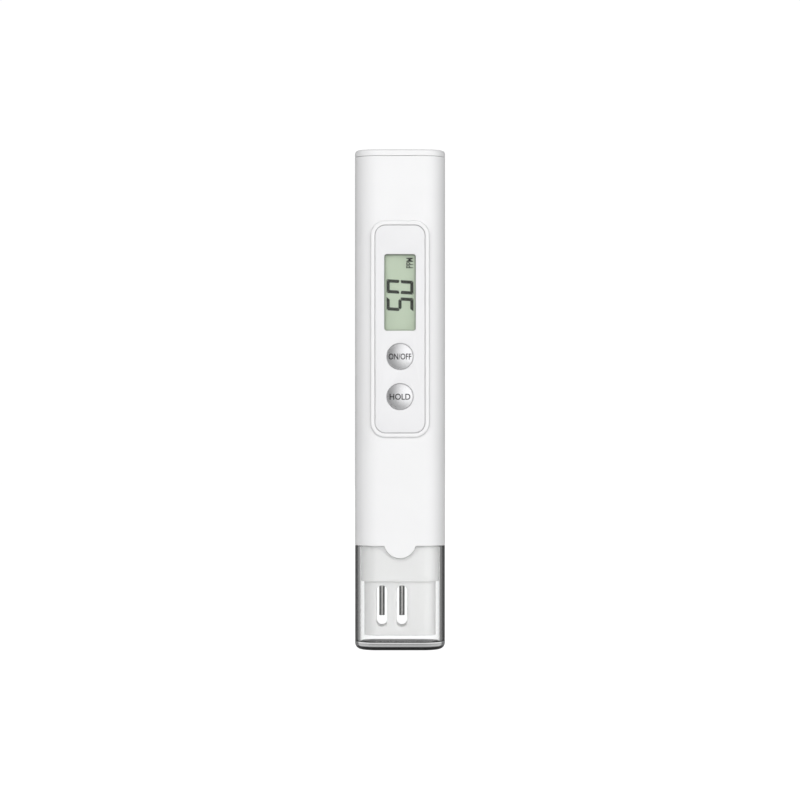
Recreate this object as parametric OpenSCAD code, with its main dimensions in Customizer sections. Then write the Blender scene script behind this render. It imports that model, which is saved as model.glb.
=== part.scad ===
// Digital water tester: a pen-shaped conductivity meter with a clear cap over its probe.
// The front faces -Y and the probe points down. The origin is the centre of the cap's base.

/* [Casing] */
// Overall height, standing on the cap
total_h = 155; // [140:1:200]
// Width of the casing and the cap
body_w = 28; // [27.6:0.1:36]
// Depth of the casing without the raised bezel
body_d = 14.6; // [14.4:0.1:20]
// Corner radius of the cross-section
corner_r = 7; // [6:0.1:7]
// Wall of the two casing shells
wall = 1.3; // [1:0.01:1.6]

/* [Cap] */
// Height of the clear cap
cap_h = 32.3; // [30:0.1:42]
// Wall of the clear cap
cap_wall = 1.6; // [1.3:0.01:2]
// Thickness of the cap's floor
cap_floor = 2.4; // [2:0.1:3.2]
// Fillet round the cap's base
cap_fillet = 2; // [1:0.1:2.4]
// Radius of the casing's tongues, which fill notches in the cap's rim
tongue_r = 5; // [4:0.1:6]
// Height of the tongues' centres above the casing's lower edge
tongue_rise = 1.2; // [0.6:0.1:2]

/* [Display] */
// Width of the display window
window_w = 9.7; // [8:0.01:11.7]
// Height of the display window
window_h = 23.6; // [19:0.1:29]
// Distance from the top of the meter to the panel
panel_drop = 23.6; // [21:0.1:30]
// Panel beside the window
panel_side = 2.8; // [2.4:0.1:3.2]
// Panel above the window
panel_head = 8.9; // [6:0.1:12]
// Panel below the lower button's centre
panel_foot = 11.1; // [8:0.1:14]
// Thickness of the panel
panel_t = 1; // [0.8:0.05:1.2]
// Width of the raised rim round the panel
rim_w = 1.25; // [0.8:0.05:1.6]
// Height of the rim above the casing's front
rim_raise = 0.8; // [0.4:0.05:1.2]

/* [Buttons] */
// Diameter of a button
button_d = 8; // [6:0.1:9.6]
// Height of a button's dome
dome_h = 0.75; // [0.3:0.05:1.2]
// Distance between the buttons
button_pitch = 12.4; // [11.4:0.1:16]
// Distance from the window down to the upper button's centre
button_drop = 8; // [7.6:0.1:10]
// How far a button travels
button_travel = 0.3; // [0.2:0.05:0.35]

/* [Probe] */
// Height of the collar below the casing
collar_h = 11.1; // [9:0.1:14]
// Wall of the skirt round the electrodes
skirt_wall = 1.2; // [0.9:0.05:1.4]
// Width of a water slot
slot_w = 3.2; // [2.6:0.05:4]
// Diameter of an electrode
pin_d = 1.7; // [1.2:0.1:2.1]
// Height of the electrodes' tips above the cap's base
pin_tip_z = 10.5; // [8:0.1:13]
// Distance between the electrodes
pin_pitch = 6.2; // [5:0.1:6.6]
// Sideways offset of the middle electrode
pin_offset = 0.6; // [0:0.1:0.8]

/* [Batteries] */
// Diameter of a button cell
cell_d = 11.6; // [9.5:0.1:11.6]
// Thickness of a button cell
cell_t = 5.4; // [3.6:0.1:5.4]
// Height of the battery cover's plate
cover_h = 2; // [1.6:0.1:4]
// Fillet round the cover's top
cover_fillet = 0.9; // [0.4:0.1:1.2]

/* [Hidden] */
$fn = 64;
dome_fn = 180; // shallow domes need finer spheres
over = 1; // how far a cutter runs past what it cuts

// Clearances
seam = 0.1; // between the outer pieces
slide_fit = 0.15; // between the casing and what plugs into it
lip_fit = 0.1; // round the collar, and between the two shells' lips
cap_fit = 0.25; // between the cap and the collar
panel_fit = 0.1; // round the panel in its pocket
button_fit = 0.15; // round a button in the panel
plunger_fit = 0.1; // round a switch's plunger
frame_fit = 0.05; // round the display in its frame
shell_gap = 0.1; // between the shells' inner face and the pieces that they hold
cell_fit = 0.1; // round a cell in the tray
cell_gap = 0.3; // between a cell's edge and the rounded inside of the casing
contact_gap = 0.05; // between a cell and the leaf that touches it in use
pin_fit = 0.02; // round an electrode in the probe head
seal_fit = 0.03; // between a seal and the casing

// The casing: z runs up from the cap's base, and the front has negative y
casing_z0 = cap_h + seam;
casing_z1 = total_h - cover_h - seam;
front_y = -body_d / 2;
inner_w = body_w - 2 * wall;
inner_d = body_d - 2 * wall;
inner_r = corner_r - wall;
// How far the inside of the casing reaches from its middle plane at a given x
function cavity_y(x) = inner_d / 2 - inner_r
    + sqrt(pow(inner_r, 2) - pow(max(0, abs(x) - inner_w / 2 + inner_r), 2));
lip_h = 1.2; // the ledge that the probe head stands on
joint_lip_t = 0.5; // the strips that line up the two shells
joint_lip_h = 1.4;
tongue_z = casing_z0 + tongue_rise;
tongue_t = cap_wall + cap_fit - lip_fit;

// The probe head: a plug in the casing, a collar under the cap and a skirt round the electrodes
collar_inset = cap_wall + cap_fit;
collar_w = body_w - 2 * collar_inset;
collar_d = body_d - 2 * collar_inset;
collar_r = corner_r - collar_inset;
collar_z0 = casing_z0 - collar_h;
skirt_step = 1.05;
skirt_w = collar_w - 2 * skirt_step;
skirt_d = collar_d - 2 * skirt_step;
skirt_r = collar_r - skirt_step;
skirt_z0 = cap_floor + 2.1;
bore_w = skirt_w - 2 * skirt_wall;
bore_d = skirt_d - 2 * skirt_wall;
bore_r = skirt_r - skirt_wall;
probe_roof_z = collar_z0 - 1; // the ceiling that the electrodes come out of
probe_roof_t = 3;
plug_step = 0.5;
plug_w = collar_w + 2 * plug_step;
plug_d = collar_d + 2 * plug_step;
plug_r = collar_r + plug_step;
plug_z0 = casing_z0 + lip_h + seam;
plug_z1 = plug_z0 + 12.3;
plug_wall = 1.6;
seal_h = 1.4;
seal_depth = 0.75; // of a seal's groove
head_seal_z = plug_z0 + 4.5;
slot_z0 = skirt_z0 + 2.8;
slot_z1 = collar_z0 - 1.25;
nub_r = 0.6;
nub_out = 0.2; // the nubs that hold the cap, past the collar's sides
nub_l = 1.4;
nub_z = casing_z0 - 3.2;
pin_xs = [pin_offset - pin_pitch, pin_offset];
sensor_x = pin_offset + pin_pitch;
sensor_r = 1.2;
sensor_tip_z = pin_tip_z + 2;
potting_z0 = probe_roof_z + probe_roof_t;
potting_z1 = potting_z0 + 6;
pin_top_z = potting_z1 + 2;

// The display stack, from the panel's face back to the circuit board
rim_y = front_y - rim_raise;
panel_sink = 0.15; // the panel's face below the rim
panel_y0 = rim_y + panel_sink;
panel_y1 = panel_y0 + panel_t;
panel_w = window_w + 2 * panel_side;
panel_h = panel_head + window_h + button_drop + button_pitch + panel_foot;
panel_r = 3.2;
panel_z1 = total_h - panel_drop;
panel_z = panel_z1 - panel_h / 2;
bezel_edge = panel_fit + rim_w;
ledge_w = 1.05; // what the panel rests on
opening_w = panel_w - 2 * ledge_w;
window_r = 0.8;
window_z = panel_z1 - panel_head - window_h / 2;
lens_t = 0.6;
lens_edge = 1;
lens_y1 = panel_y1 + lens_t;
lcd_t = 1.4;
lcd_w = opening_w - 0.6;
lcd_h = window_h + 4;
lcd_y1 = lens_y1 + lcd_t;
lcd_rest = 1.2; // the frame's steps behind the display's two ends
strip_t = 1.2;
strip_h = 1.95;
reflector_t = 0.3;
frame_wall = 1.25;
frame_w = lcd_w + 2 * (frame_fit + frame_wall);
frame_h = lcd_h + 2 * (frame_fit + frame_wall);
frame_y0 = shell_gap - cavity_y(frame_w / 2);
board_y0 = lcd_y1 + strip_h;
board_t = 1;
board_y1 = board_y0 + board_t;

// The buttons and their switches
on_off_z = panel_z1 - panel_head - window_h - button_drop;
hold_z = on_off_z - button_pitch;
button_r = button_d / 2;
button_edge_y = panel_y0 - 0.1;
flange_y0 = panel_y1 + 0.05;
flange_t = 0.6;
flange_r = button_r + 0.7;
stem_r = 1.5;
switch_w = 5.2;
switch_y0 = board_y0 - 1.5;
switch_floor = 0.4;
plunger_r = 1.25;
plunger_y0 = switch_y0 - button_travel - 0.2;
plunger_y1 = board_y0 - switch_floor - button_travel - 0.2;
tab_w = 1;

// The battery drawer
cover_z0 = total_h - cover_h;
cover_plug_h = 2.5;
cover_plug_w = inner_w - 2 * slide_fit;
cover_plug_d = inner_d - 2 * slide_fit;
cover_plug_r = inner_r - slide_fit;
cover_seal_z = cover_z0 - cover_plug_h + (cover_plug_h - seal_h) / 2;
pry_w = 8; // the nail slot in the cover's back edge
pry_h = 0.9;
cell_r = cell_d / 2;
cell_xs = [-1, 1] * (cell_r + cell_fit);
contact_room = 2.4; // behind the cells
cell_y1 = min(inner_d / 2 - contact_room, cavity_y(cell_xs[1] + cell_r) - cell_gap);
cell_y0 = cell_y1 - cell_t;
cell_cap_r = cell_r - 1;
cell_cap_h = 0.4;
link_t = 0.2;
tray_floor = 1.6;
tray_y0 = cell_y0 - link_t - tray_floor;
tray_y1 = cell_y1 - 0.1;
tray_edge = 0.8; // below the cells
tray_z1 = cover_z0 - cover_plug_h;
cell_z = tray_z1 - cell_fit - cell_r;
tray_z0 = cell_z - cell_r - cell_fit - tray_edge;
contact_t = 0.25;
contact_bend_r = 0.14; // a little over half the leaf's thickness
contact_w = 3;

// The circuit board
board_w = inner_w - 3;
board_z0 = plug_z1 + 2;
board_z1 = tray_z0 - 2;
boss_r = 1.8;
boss_x = board_w / 2 - 3.2;
boss_zs = [panel_z - panel_h / 2 - 1.4, board_z1 - 3];
screw_r = 0.72;
pilot_r = 0.75;
screw_hole_r = 0.9;
screw_head_r = 1.4;
screw_head_h = 0.9;
screw_l = 2.8;
lead_r = 0.3;
bend_r = 1.2;

// ---- shared shapes ----

// A rectangle with round corners, in 2D
module round_rect(w, d, r) {
    square([w - 2 * r, d], center = true);
    square([w, d - 2 * r], center = true);
    for (x = [-1, 1], y = [-1, 1])
        translate([x * (w / 2 - r), y * (d / 2 - r)]) circle(r);
}

// A round-cornered bar from z0 up to z1; grow adds to every side
module post(w, d, r, z0, z1, grow = 0) {
    translate([0, 0, z0]) linear_extrude(z1 - z0) round_rect(w + 2 * grow, d + 2 * grow, r + grow);
}

// Turns a shape drawn in x and z into a solid that runs from y0 back to y1
module facing(y0, y1) {
    translate([0, y1, 0]) rotate([90, 0, 0]) linear_extrude(y1 - y0) children();
}

// A rod along y
module rod(r, y0, y1, x = 0, z = 0) {
    facing(y0, y1) translate([x, z]) circle(r);
}

// All the space between two depths
module slab(y0, y1) {
    translate([-body_w, y0, -over]) cube([2 * body_w, y1 - y0, total_h + 2 * over]);
}

// Half of a profile with its outer lower corner rounded
module half_profile(reach, h, f) {
    translate([0, f]) square([reach, h - f]);
    square([reach - f, f]);
    translate([reach - f, f]) circle(f);
}

// A round-cornered bar with a fillet round its base, standing on z = 0
module filleted_post(w, d, h, r, f) {
    flat_x = w / 2 - r;
    flat_y = d / 2 - r;
    for (s = [0, 1]) mirror([0, s, 0])
        translate([-flat_x, 0, 0]) rotate([90, 0, 90]) linear_extrude(2 * flat_x)
            half_profile(d / 2, h, f);
    for (s = [0, 1]) mirror([s, 0, 0])
        translate([flat_x, flat_y, 0]) rotate([90, 0, 0]) linear_extrude(2 * flat_y)
            half_profile(r, h, f);
    for (mx = [0, 1], my = [0, 1]) mirror([mx, 0, 0]) mirror([0, my, 0])
        translate([flat_x, flat_y, 0]) rotate_extrude(angle = 90) half_profile(r, h, f);
}

// A disc with a shallow ball-shaped front, from y0 back to y1
module dome(r, h, y0, y1, z = 0) {
    ball_r = (r * r + h * h) / (2 * h);
    intersection() {
        translate([0, y0 + ball_r, z]) sphere(ball_r, $fn = dome_fn);
        rod(r, y0 - over, y1, 0, z);
    }
}

// A thin strip that follows points in 2D, with rounds of radius bend at its points
module strip(points, t, bend) {
    for (i = [0 : len(points) - 2]) {
        run = points[i + 1] - points[i];
        translate(points[i]) rotate(atan2(run[1], run[0]))
            translate([0, -t / 2]) square([norm(run), t]);
    }
    for (p = points) translate(p) circle(bend);
}

// A wire that rises, turns towards -Y and runs on
module elbow(rise, run) {
    cylinder(r = lead_r, h = rise);
    translate([0, -bend_r, rise]) rotate([90, 0, 90]) rotate_extrude(angle = 90)
        translate([bend_r, 0]) circle(lead_r);
    translate([0, -bend_r, rise + bend_r]) rotate([90, 0, 0]) cylinder(r = lead_r, h = run);
}

// A seal round a plug: it fills the plug's groove and reaches out across the sliding gap
module seal_ring(w, d, r, z0) {
    difference() {
        post(w, d, r, z0, z0 + seal_h, slide_fit - seal_fit);
        post(w, d, r, z0 - over, z0 + seal_h + over, -seal_depth);
    }
}

// The groove for that seal
module seal_groove(w, d, r, z0) {
    difference() {
        post(w, d, r, z0, z0 + seal_h, over);
        post(w, d, r, z0 - over, z0 + seal_h + over, -seal_depth);
    }
}

// ---- casing ----

// The casing as one tube, before it is parted into two shells
module casing_tube() {
    difference() {
        post(body_w, body_d, corner_r, casing_z0, casing_z1);
        post(inner_w, inner_d, inner_r, plug_z1, casing_z1 + over);
        post(plug_w, plug_d, plug_r, casing_z0 + lip_h, plug_z1 + seam, slide_fit);
        post(collar_w, collar_d, collar_r, casing_z0 - over, plug_z0, lip_fit);
    }
}

// A round tongue under the casing's front (side -1) or back (side 1)
module tongue(side) {
    rotate([0, 0, side < 0 ? 0 : 180]) difference() {
        rod(tongue_r, front_y, front_y + tongue_t, 0, tongue_z);
        translate([-body_w, -body_d, casing_z0 + lip_h / 2]) cube(2 * body_w);
    }
}

module front_shell() {
    color("whitesmoke") difference() {
        union() {
            intersection() {
                casing_tube();
                slab(-body_d, 0);
            }
            tongue(-1);
            facing(rim_y, front_y + wall / 2) translate([0, panel_z])
                round_rect(panel_w + 2 * bezel_edge, panel_h + 2 * bezel_edge, panel_r + bezel_edge);
            intersection() {
                for (x = [-1, 1] * boss_x, z = boss_zs) rod(boss_r, front_y, board_y0, x, z);
                post(inner_w, inner_d, inner_r, casing_z0, casing_z1, wall / 2);
            }
        }
        facing(rim_y - over, panel_y1) translate([0, panel_z])
            round_rect(panel_w + 2 * panel_fit, panel_h + 2 * panel_fit, panel_r + panel_fit);
        facing(rim_y - over, front_y + wall + over) translate([0, panel_z])
            round_rect(opening_w, panel_h - 2 * ledge_w, panel_r - ledge_w);
        for (x = [-1, 1] * boss_x, z = boss_zs)
            rod(pilot_r, board_y0 - screw_l - 0.2, board_y0 + over, x, z);
    }
}

// The strips inside the seam: fixed to the rear shell and reaching into the front one
module joint_lips() {
    z0 = plug_z1 + 2;
    z1 = tray_z0 - 2;
    difference() {
        union() {
            intersection() {
                post(inner_w, inner_d, inner_r, z0, z1, -lip_fit);
                slab(-joint_lip_h, joint_lip_h);
            }
            intersection() {
                post(inner_w, inner_d, inner_r, z0, z1, wall / 2);
                slab(0, joint_lip_h);
            }
        }
        post(inner_w, inner_d, inner_r, z0 - over, z1 + over, -lip_fit - joint_lip_t);
    }
}

module rear_shell() {
    color("whitesmoke") {
        intersection() {
            casing_tube();
            slab(0, body_d);
        }
        tongue(1);
        joint_lips();
    }
}

// ---- display ----

module display_panel() {
    color("gainsboro") difference() {
        facing(panel_y0, panel_y1) translate([0, panel_z]) round_rect(panel_w, panel_h, panel_r);
        facing(panel_y0 - over, panel_y1 + over) translate([0, window_z])
            round_rect(window_w, window_h, window_r);
        for (z = [on_off_z, hold_z])
            rod(button_r + button_fit, panel_y0 - over, panel_y1 + over, 0, z);
    }
}

module display_lens() {
    color("aliceblue", 0.4) facing(panel_y1, lens_y1) translate([0, window_z])
        round_rect(window_w + 2 * lens_edge, window_h + 2 * lens_edge, window_r + lens_edge);
}

module lcd_cell() {
    color("darkseagreen") facing(lens_y1, lcd_y1) translate([0, window_z])
        square([lcd_w, lcd_h], center = true);
}

// The frame that clamps the display between the casing's front and the board
module lcd_frame() {
    w = frame_w - 2 * frame_wall;
    h = frame_h - 2 * frame_wall;
    color("white") difference() {
        facing(frame_y0, board_y0) translate([0, window_z]) square([frame_w, frame_h], center = true);
        facing(frame_y0 - over, lcd_y1) translate([0, window_z]) square([w, h], center = true);
        facing(frame_y0 - over, board_y0 + over) translate([0, window_z])
            square([w, h - 2 * lcd_rest], center = true);
    }
}

module lcd_reflector() {
    color("silver") facing(lcd_y1, lcd_y1 + reflector_t) translate([0, window_z])
        square([lcd_w - 2 * strip_t - 1, window_h], center = true);
}

// Rubber strips that carry the display's contacts down to the board
module zebra_strips() {
    color("dimgray") for (s = [-1, 1]) facing(lcd_y1, board_y0)
        translate([s * (lcd_w - strip_t) / 2, window_z]) square([strip_t, window_h], center = true);
}

// ---- circuit board ----

module circuit_board() {
    color("seagreen") difference() {
        facing(board_y0, board_y1) translate([-board_w / 2, board_z0])
            square([board_w, board_z1 - board_z0]);
        for (x = [-1, 1] * boss_x, z = boss_zs)
            rod(screw_hole_r, board_y0 - over, board_y1 + over, x, z);
    }
}

module board_screws() {
    color("lightgray") for (x = [-1, 1] * boss_x, z = boss_zs) difference() {
        union() {
            rod(screw_head_r, board_y1, board_y1 + screw_head_h, x, z);
            rod(screw_r, board_y0 - screw_l, board_y1 + screw_head_h / 2, x, z);
        }
        for (a = [0, 90]) facing(board_y1 + screw_head_h / 2, board_y1 + screw_head_h + over)
            translate([x, z]) rotate(a) square([1.7, 0.4], center = true);
    }
}

// The resin drop over the bonded chip
module controller_chip() {
    color("black") translate([0, 0, window_z]) mirror([0, 1, 0])
        dome(3.6, 1.3, -board_y1 - 1.3, -board_y1);
}

module quartz_crystal() {
    color("silver") translate([6, board_y1 + 1, window_z - 12]) cylinder(r = 1, h = 6);
}

// Small parts of one size on the back of the board, placed from the display's centre
module chips(places, w, h, t) {
    for (p = places) facing(board_y1, board_y1 + t) translate([p[0], window_z + p[1]])
        square([w, h], center = true);
}

module chip_resistors() {
    color("black")
        chips([for (i = [0 : 3], j = [0, 1]) [-7 + 2.6 * i, -15 - 3.4 * j]], 0.8, 1.6, 0.45);
}

module chip_capacitors() {
    color("tan") chips([for (i = [0 : 3]) [-6.5, -6 + 4 * i]], 2, 1.25, 0.9);
}

// ---- buttons ----

// A small push switch with a round hole for its plunger and four solder tabs
module tact_switch(z) {
    color("darkgray") difference() {
        union() {
            facing(switch_y0, board_y0) translate([0, z]) square(switch_w, center = true);
            for (x = [-1, 1] * switch_w / 2, dz = [-1, 1] * switch_w / 3)
                facing(board_y0 - 0.3, board_y0) translate([x, z + dz])
                    square([2 * tab_w, 0.7], center = true);
        }
        rod(plunger_r + plunger_fit, switch_y0 - over, board_y0 - switch_floor, 0, z);
    }
}

module plunger(z) {
    color("dimgray") rod(plunger_r, plunger_y0, plunger_y1, 0, z);
}

// A domed button with a flange behind the panel and a stem down to the plunger
module button(z) {
    color("silver") {
        dome(button_r, dome_h, button_edge_y - dome_h, flange_y0 + flange_t, z);
        rod(flange_r, flange_y0, flange_y0 + flange_t, 0, z);
        rod(stem_r, flange_y0, plunger_y0, 0, z);
    }
}

// ---- battery drawer ----

module battery_cover() {
    color("whitesmoke") difference() {
        union() {
            translate([0, 0, total_h]) mirror([0, 0, 1])
                filleted_post(body_w, body_d, cover_h, corner_r, cover_fillet);
            post(cover_plug_w, cover_plug_d, cover_plug_r, tray_z1, cover_z0 + cover_h / 2);
        }
        seal_groove(cover_plug_w, cover_plug_d, cover_plug_r, cover_seal_z);
        translate([-pry_w / 2, body_d / 2 - 0.8, cover_z0 - over]) cube([pry_w, 2, pry_h + over]);
    }
}

module cover_seal() {
    color("dimgray") seal_ring(cover_plug_w, cover_plug_d, cover_plug_r, cover_seal_z);
}

module battery_tray() {
    color("gainsboro") difference() {
        intersection() {
            post(cover_plug_w, cover_plug_d, cover_plug_r, tray_z0, tray_z1);
            slab(tray_y0, tray_y1);
        }
        for (x = cell_xs) rod(cell_r + cell_fit, tray_y0 + tray_floor, tray_y1 + over, x, cell_z);
        facing(tray_y0 + tray_floor, tray_y1 + over) translate([0, cell_z])
            square(cell_r, center = true);
    }
}

// The plate that joins the two cells in series
module cell_link() {
    color("gold") facing(tray_y0 + tray_floor, cell_y0) translate([0, cell_z])
        square([1.3 * cell_d, 0.4 * cell_d], center = true);
}

// One cell turns its can to the back, and the other its smaller cap
module button_cells() {
    color("silver") {
        rod(cell_r, cell_y0 + cell_cap_h, cell_y1, cell_xs[0], cell_z);
        rod(cell_cap_r, cell_y0, cell_y0 + cell_cap_h, cell_xs[0], cell_z);
        rod(cell_r, cell_y0, cell_y1 - cell_cap_h, cell_xs[1], cell_z);
        rod(cell_cap_r, cell_y1 - cell_cap_h, cell_y1, cell_xs[1], cell_z);
    }
}

// Two sprung leaves on the rear shell that touch the cells
module battery_contacts() {
    root_y = inner_d / 2 - contact_bend_r;
    tip_y = cell_y1 + contact_gap + contact_bend_r;
    color("gold") for (x = cell_xs)
        translate([x - contact_w / 2, 0, 0]) rotate([90, 0, 90]) linear_extrude(contact_w)
            strip([
                [root_y, tray_z0 - 1.5], [root_y, cell_z + 4.5], [tip_y, cell_z],
                [(tip_y + root_y) / 2, cell_z - 2.5]
            ], contact_t, contact_bend_r);
}

module battery_leads() {
    y = inner_d / 2 - contact_t - lead_r;
    color("firebrick") for (x = cell_xs)
        translate([x, y, tray_z0 - 0.5]) mirror([0, 0, 1]) elbow(2.5, y - bend_r - board_y1);
}

// ---- probe ----

// Holes for the electrodes and the sensor's sleeve
module probe_holes(z0, z1) {
    for (x = pin_xs) translate([x, 0, z0]) cylinder(r = pin_d / 2 + pin_fit, h = z1 - z0);
    translate([sensor_x, 0, z0]) cylinder(r = sensor_r + pin_fit, h = z1 - z0);
}

module probe_head() {
    slot_run = slot_z1 - slot_z0 - slot_w;
    color("white") difference() {
        union() {
            post(skirt_w, skirt_d, skirt_r, skirt_z0, collar_z0 + over);
            post(collar_w, collar_d, collar_r, collar_z0, plug_z0 + over);
            post(plug_w, plug_d, plug_r, plug_z0, plug_z1);
            for (s = [-1, 1])
                rod(nub_r, -nub_l / 2, nub_l / 2, s * (collar_w / 2 + nub_out - nub_r), nub_z);
        }
        post(bore_w, bore_d, bore_r, skirt_z0 - over, probe_roof_z);
        post(bore_w, bore_d, bore_r, potting_z0, plug_z0 + over);
        post(plug_w, plug_d, plug_r, plug_z0, plug_z1 + over, -plug_wall);
        seal_groove(plug_w, plug_d, plug_r, head_seal_z);
        probe_holes(probe_roof_z - over, potting_z0 + over);
        for (x = pin_xs) facing(-body_d, body_d) translate([x, (slot_z0 + slot_z1) / 2]) {
            square([slot_w, slot_run], center = true);
            for (s = [-1, 1]) translate([0, s * slot_run / 2]) circle(slot_w / 2);
        }
    }
}

module probe_seal() {
    color("dimgray") seal_ring(plug_w, plug_d, plug_r, head_seal_z);
}

module electrode_pins() {
    color("silver") for (x = pin_xs)
        translate([x, 0, pin_tip_z]) cylinder(d = pin_d, h = pin_top_z - pin_tip_z);
}

// A round-ended sleeve that holds the temperature bead
module temperature_sensor() {
    color("ivory") translate([sensor_x, 0, sensor_tip_z + sensor_r]) {
        cylinder(r = sensor_r, h = pin_top_z - sensor_tip_z - sensor_r);
        sphere(sensor_r);
    }
}

// Resin that seals the electrodes into the head
module potting_block() {
    color("black") difference() {
        post(bore_w, bore_d, bore_r, potting_z0, potting_z1);
        probe_holes(potting_z0 - over, potting_z1 + over);
    }
}

module sensor_leads() {
    rise = board_z0 + 2 - pin_top_z;
    color("firebrick") for (x = concat(pin_xs, [sensor_x - 0.6, sensor_x + 0.6]))
        translate([x, 0, pin_top_z]) elbow(rise, -bend_r - board_y1);
}

module protective_cap() {
    color("lightcyan", 0.35) difference() {
        filleted_post(body_w, body_d, cap_h, corner_r, cap_fillet);
        post(body_w, body_d, corner_r, cap_floor, cap_h + over, -cap_wall);
        rod(tongue_r + seam, -body_d, body_d, 0, tongue_z);
    }
}

// ---- nodes ----

front_shell();
rear_shell();
display_panel();
display_lens();
lcd_cell();
lcd_frame();
lcd_reflector();
zebra_strips();
circuit_board();
board_screws();
controller_chip();
quartz_crystal();
chip_resistors();
chip_capacitors();
tact_switch(on_off_z);  // on_off_switch
tact_switch(hold_z);  // hold_switch
button(on_off_z);  // on_off_button
plunger(on_off_z);  // on_off_plunger
button(hold_z);  // hold_button
plunger(hold_z);  // hold_plunger
battery_cover();
cover_seal();
battery_tray();
cell_link();
button_cells();
battery_contacts();
battery_leads();
probe_head();
probe_seal();
electrode_pins();
temperature_sensor();
potting_block();
sensor_leads();
protective_cap();
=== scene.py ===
"""Digital water tester: the finished pieces and the studio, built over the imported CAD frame.

All sizes are in metres in the frame's axes: the front faces -Y, and z rises from the cap's base.
"""

import math

import bmesh
import bpy
from bpy.props import FloatProperty, FloatVectorProperty, StringProperty
from mathutils import Matrix, Vector


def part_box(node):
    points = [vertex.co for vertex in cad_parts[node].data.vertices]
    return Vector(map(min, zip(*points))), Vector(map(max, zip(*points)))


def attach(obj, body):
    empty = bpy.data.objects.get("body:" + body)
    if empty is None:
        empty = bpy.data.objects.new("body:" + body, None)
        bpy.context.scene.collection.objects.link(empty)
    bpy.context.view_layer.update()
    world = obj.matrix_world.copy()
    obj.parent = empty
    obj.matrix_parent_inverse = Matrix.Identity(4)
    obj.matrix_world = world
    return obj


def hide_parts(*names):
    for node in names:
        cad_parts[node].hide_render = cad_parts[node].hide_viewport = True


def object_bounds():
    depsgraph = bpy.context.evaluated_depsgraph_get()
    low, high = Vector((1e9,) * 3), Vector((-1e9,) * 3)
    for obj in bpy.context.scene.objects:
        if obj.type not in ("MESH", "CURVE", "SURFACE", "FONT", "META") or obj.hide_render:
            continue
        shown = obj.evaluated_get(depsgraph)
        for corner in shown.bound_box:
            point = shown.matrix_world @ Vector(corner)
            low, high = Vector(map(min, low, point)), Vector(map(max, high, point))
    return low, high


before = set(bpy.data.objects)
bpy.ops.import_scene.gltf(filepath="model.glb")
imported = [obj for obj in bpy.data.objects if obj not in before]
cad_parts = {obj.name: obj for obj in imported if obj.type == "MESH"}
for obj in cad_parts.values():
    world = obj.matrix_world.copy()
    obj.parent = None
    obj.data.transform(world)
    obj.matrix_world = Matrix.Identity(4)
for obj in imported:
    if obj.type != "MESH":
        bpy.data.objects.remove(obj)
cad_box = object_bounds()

bl_info = {
    "name": "Digital Water Tester",
    "version": (1, 0, 0),
    "blender": (4, 5, 0),
    "location": "View3D > Sidebar > Water Tester",
    "description": "Builds a pen-shaped water tester: casing, display, keys, probe, clear cap and studio",
    "category": "Object",
}

MM = 0.001

# ---- places that come from the frame ----
cap_low, cap_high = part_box("protective_cap")
cover_low, cover_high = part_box("battery_cover")
front_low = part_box("front_shell")[0]
panel_low, panel_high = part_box("display_panel")
lens_low, lens_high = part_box("display_lens")
head_low, head_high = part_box("probe_head")
head_seal_low, head_seal_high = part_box("probe_seal")
cover_seal_low, cover_seal_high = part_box("cover_seal")
pins_low, pins_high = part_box("electrode_pins")
sensor_low, sensor_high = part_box("temperature_sensor")
potting_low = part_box("potting_block")[0]
cells_low, cells_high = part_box("button_cells")
board_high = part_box("circuit_board")[1]
screws_low, screws_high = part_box("board_screws")

# ---- the casing's section and walls ----
SEAM = 0.1 * MM
BODY_W = cap_high.x - cap_low.x
BODY_D = cap_high.y - cap_low.y
CORNER_R = 7 * MM
WALL = 1.3 * MM
LIP_T = 1.75 * MM  # the casing's lower lip and its tongues
LIP_H = 1.2 * MM
FRONT_Y = cap_low.y
FLAT_X = BODY_W / 2 - CORNER_R
FLAT_Y = BODY_D / 2 - CORNER_R
HALF_TURN = CORNER_R * math.pi / 2
HALF_GIRTH = FLAT_X + HALF_TURN + FLAT_Y  # from the front's middle round to the seam
LIP_EASE = 0.05 * MM  # half the height over which the wall thickens to the lip
CASING_Z0 = cap_high.z + SEAM
COVER_H = 2 * MM
CASING_Z1 = cover_high.z - COVER_H - SEAM
TONGUE_R = 5 * MM
TONGUE_Z = front_low.z + TONGUE_R
RIM_Y = front_low.y
RIM_W = 1.25 * MM
PANEL_FIT = 0.16 * MM
PANEL_R = 3.2 * MM
LEDGE_W = 1.05 * MM
BUTTON_FIT = 0.15 * MM

# ---- the display ----
WINDOW_EDGE = 1 * MM  # the lens reaches this far behind the panel
WINDOW_W = lens_high.x - lens_low.x - 2 * WINDOW_EDGE
WINDOW_H = lens_high.z - lens_low.z - 2 * WINDOW_EDGE
WINDOW_R = 0.8 * MM
WINDOW_Z = (lens_low.z + lens_high.z) / 2

# ---- mesh densities ----
CORNER_STEPS = 14
LATHE_STEPS = 96


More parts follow.
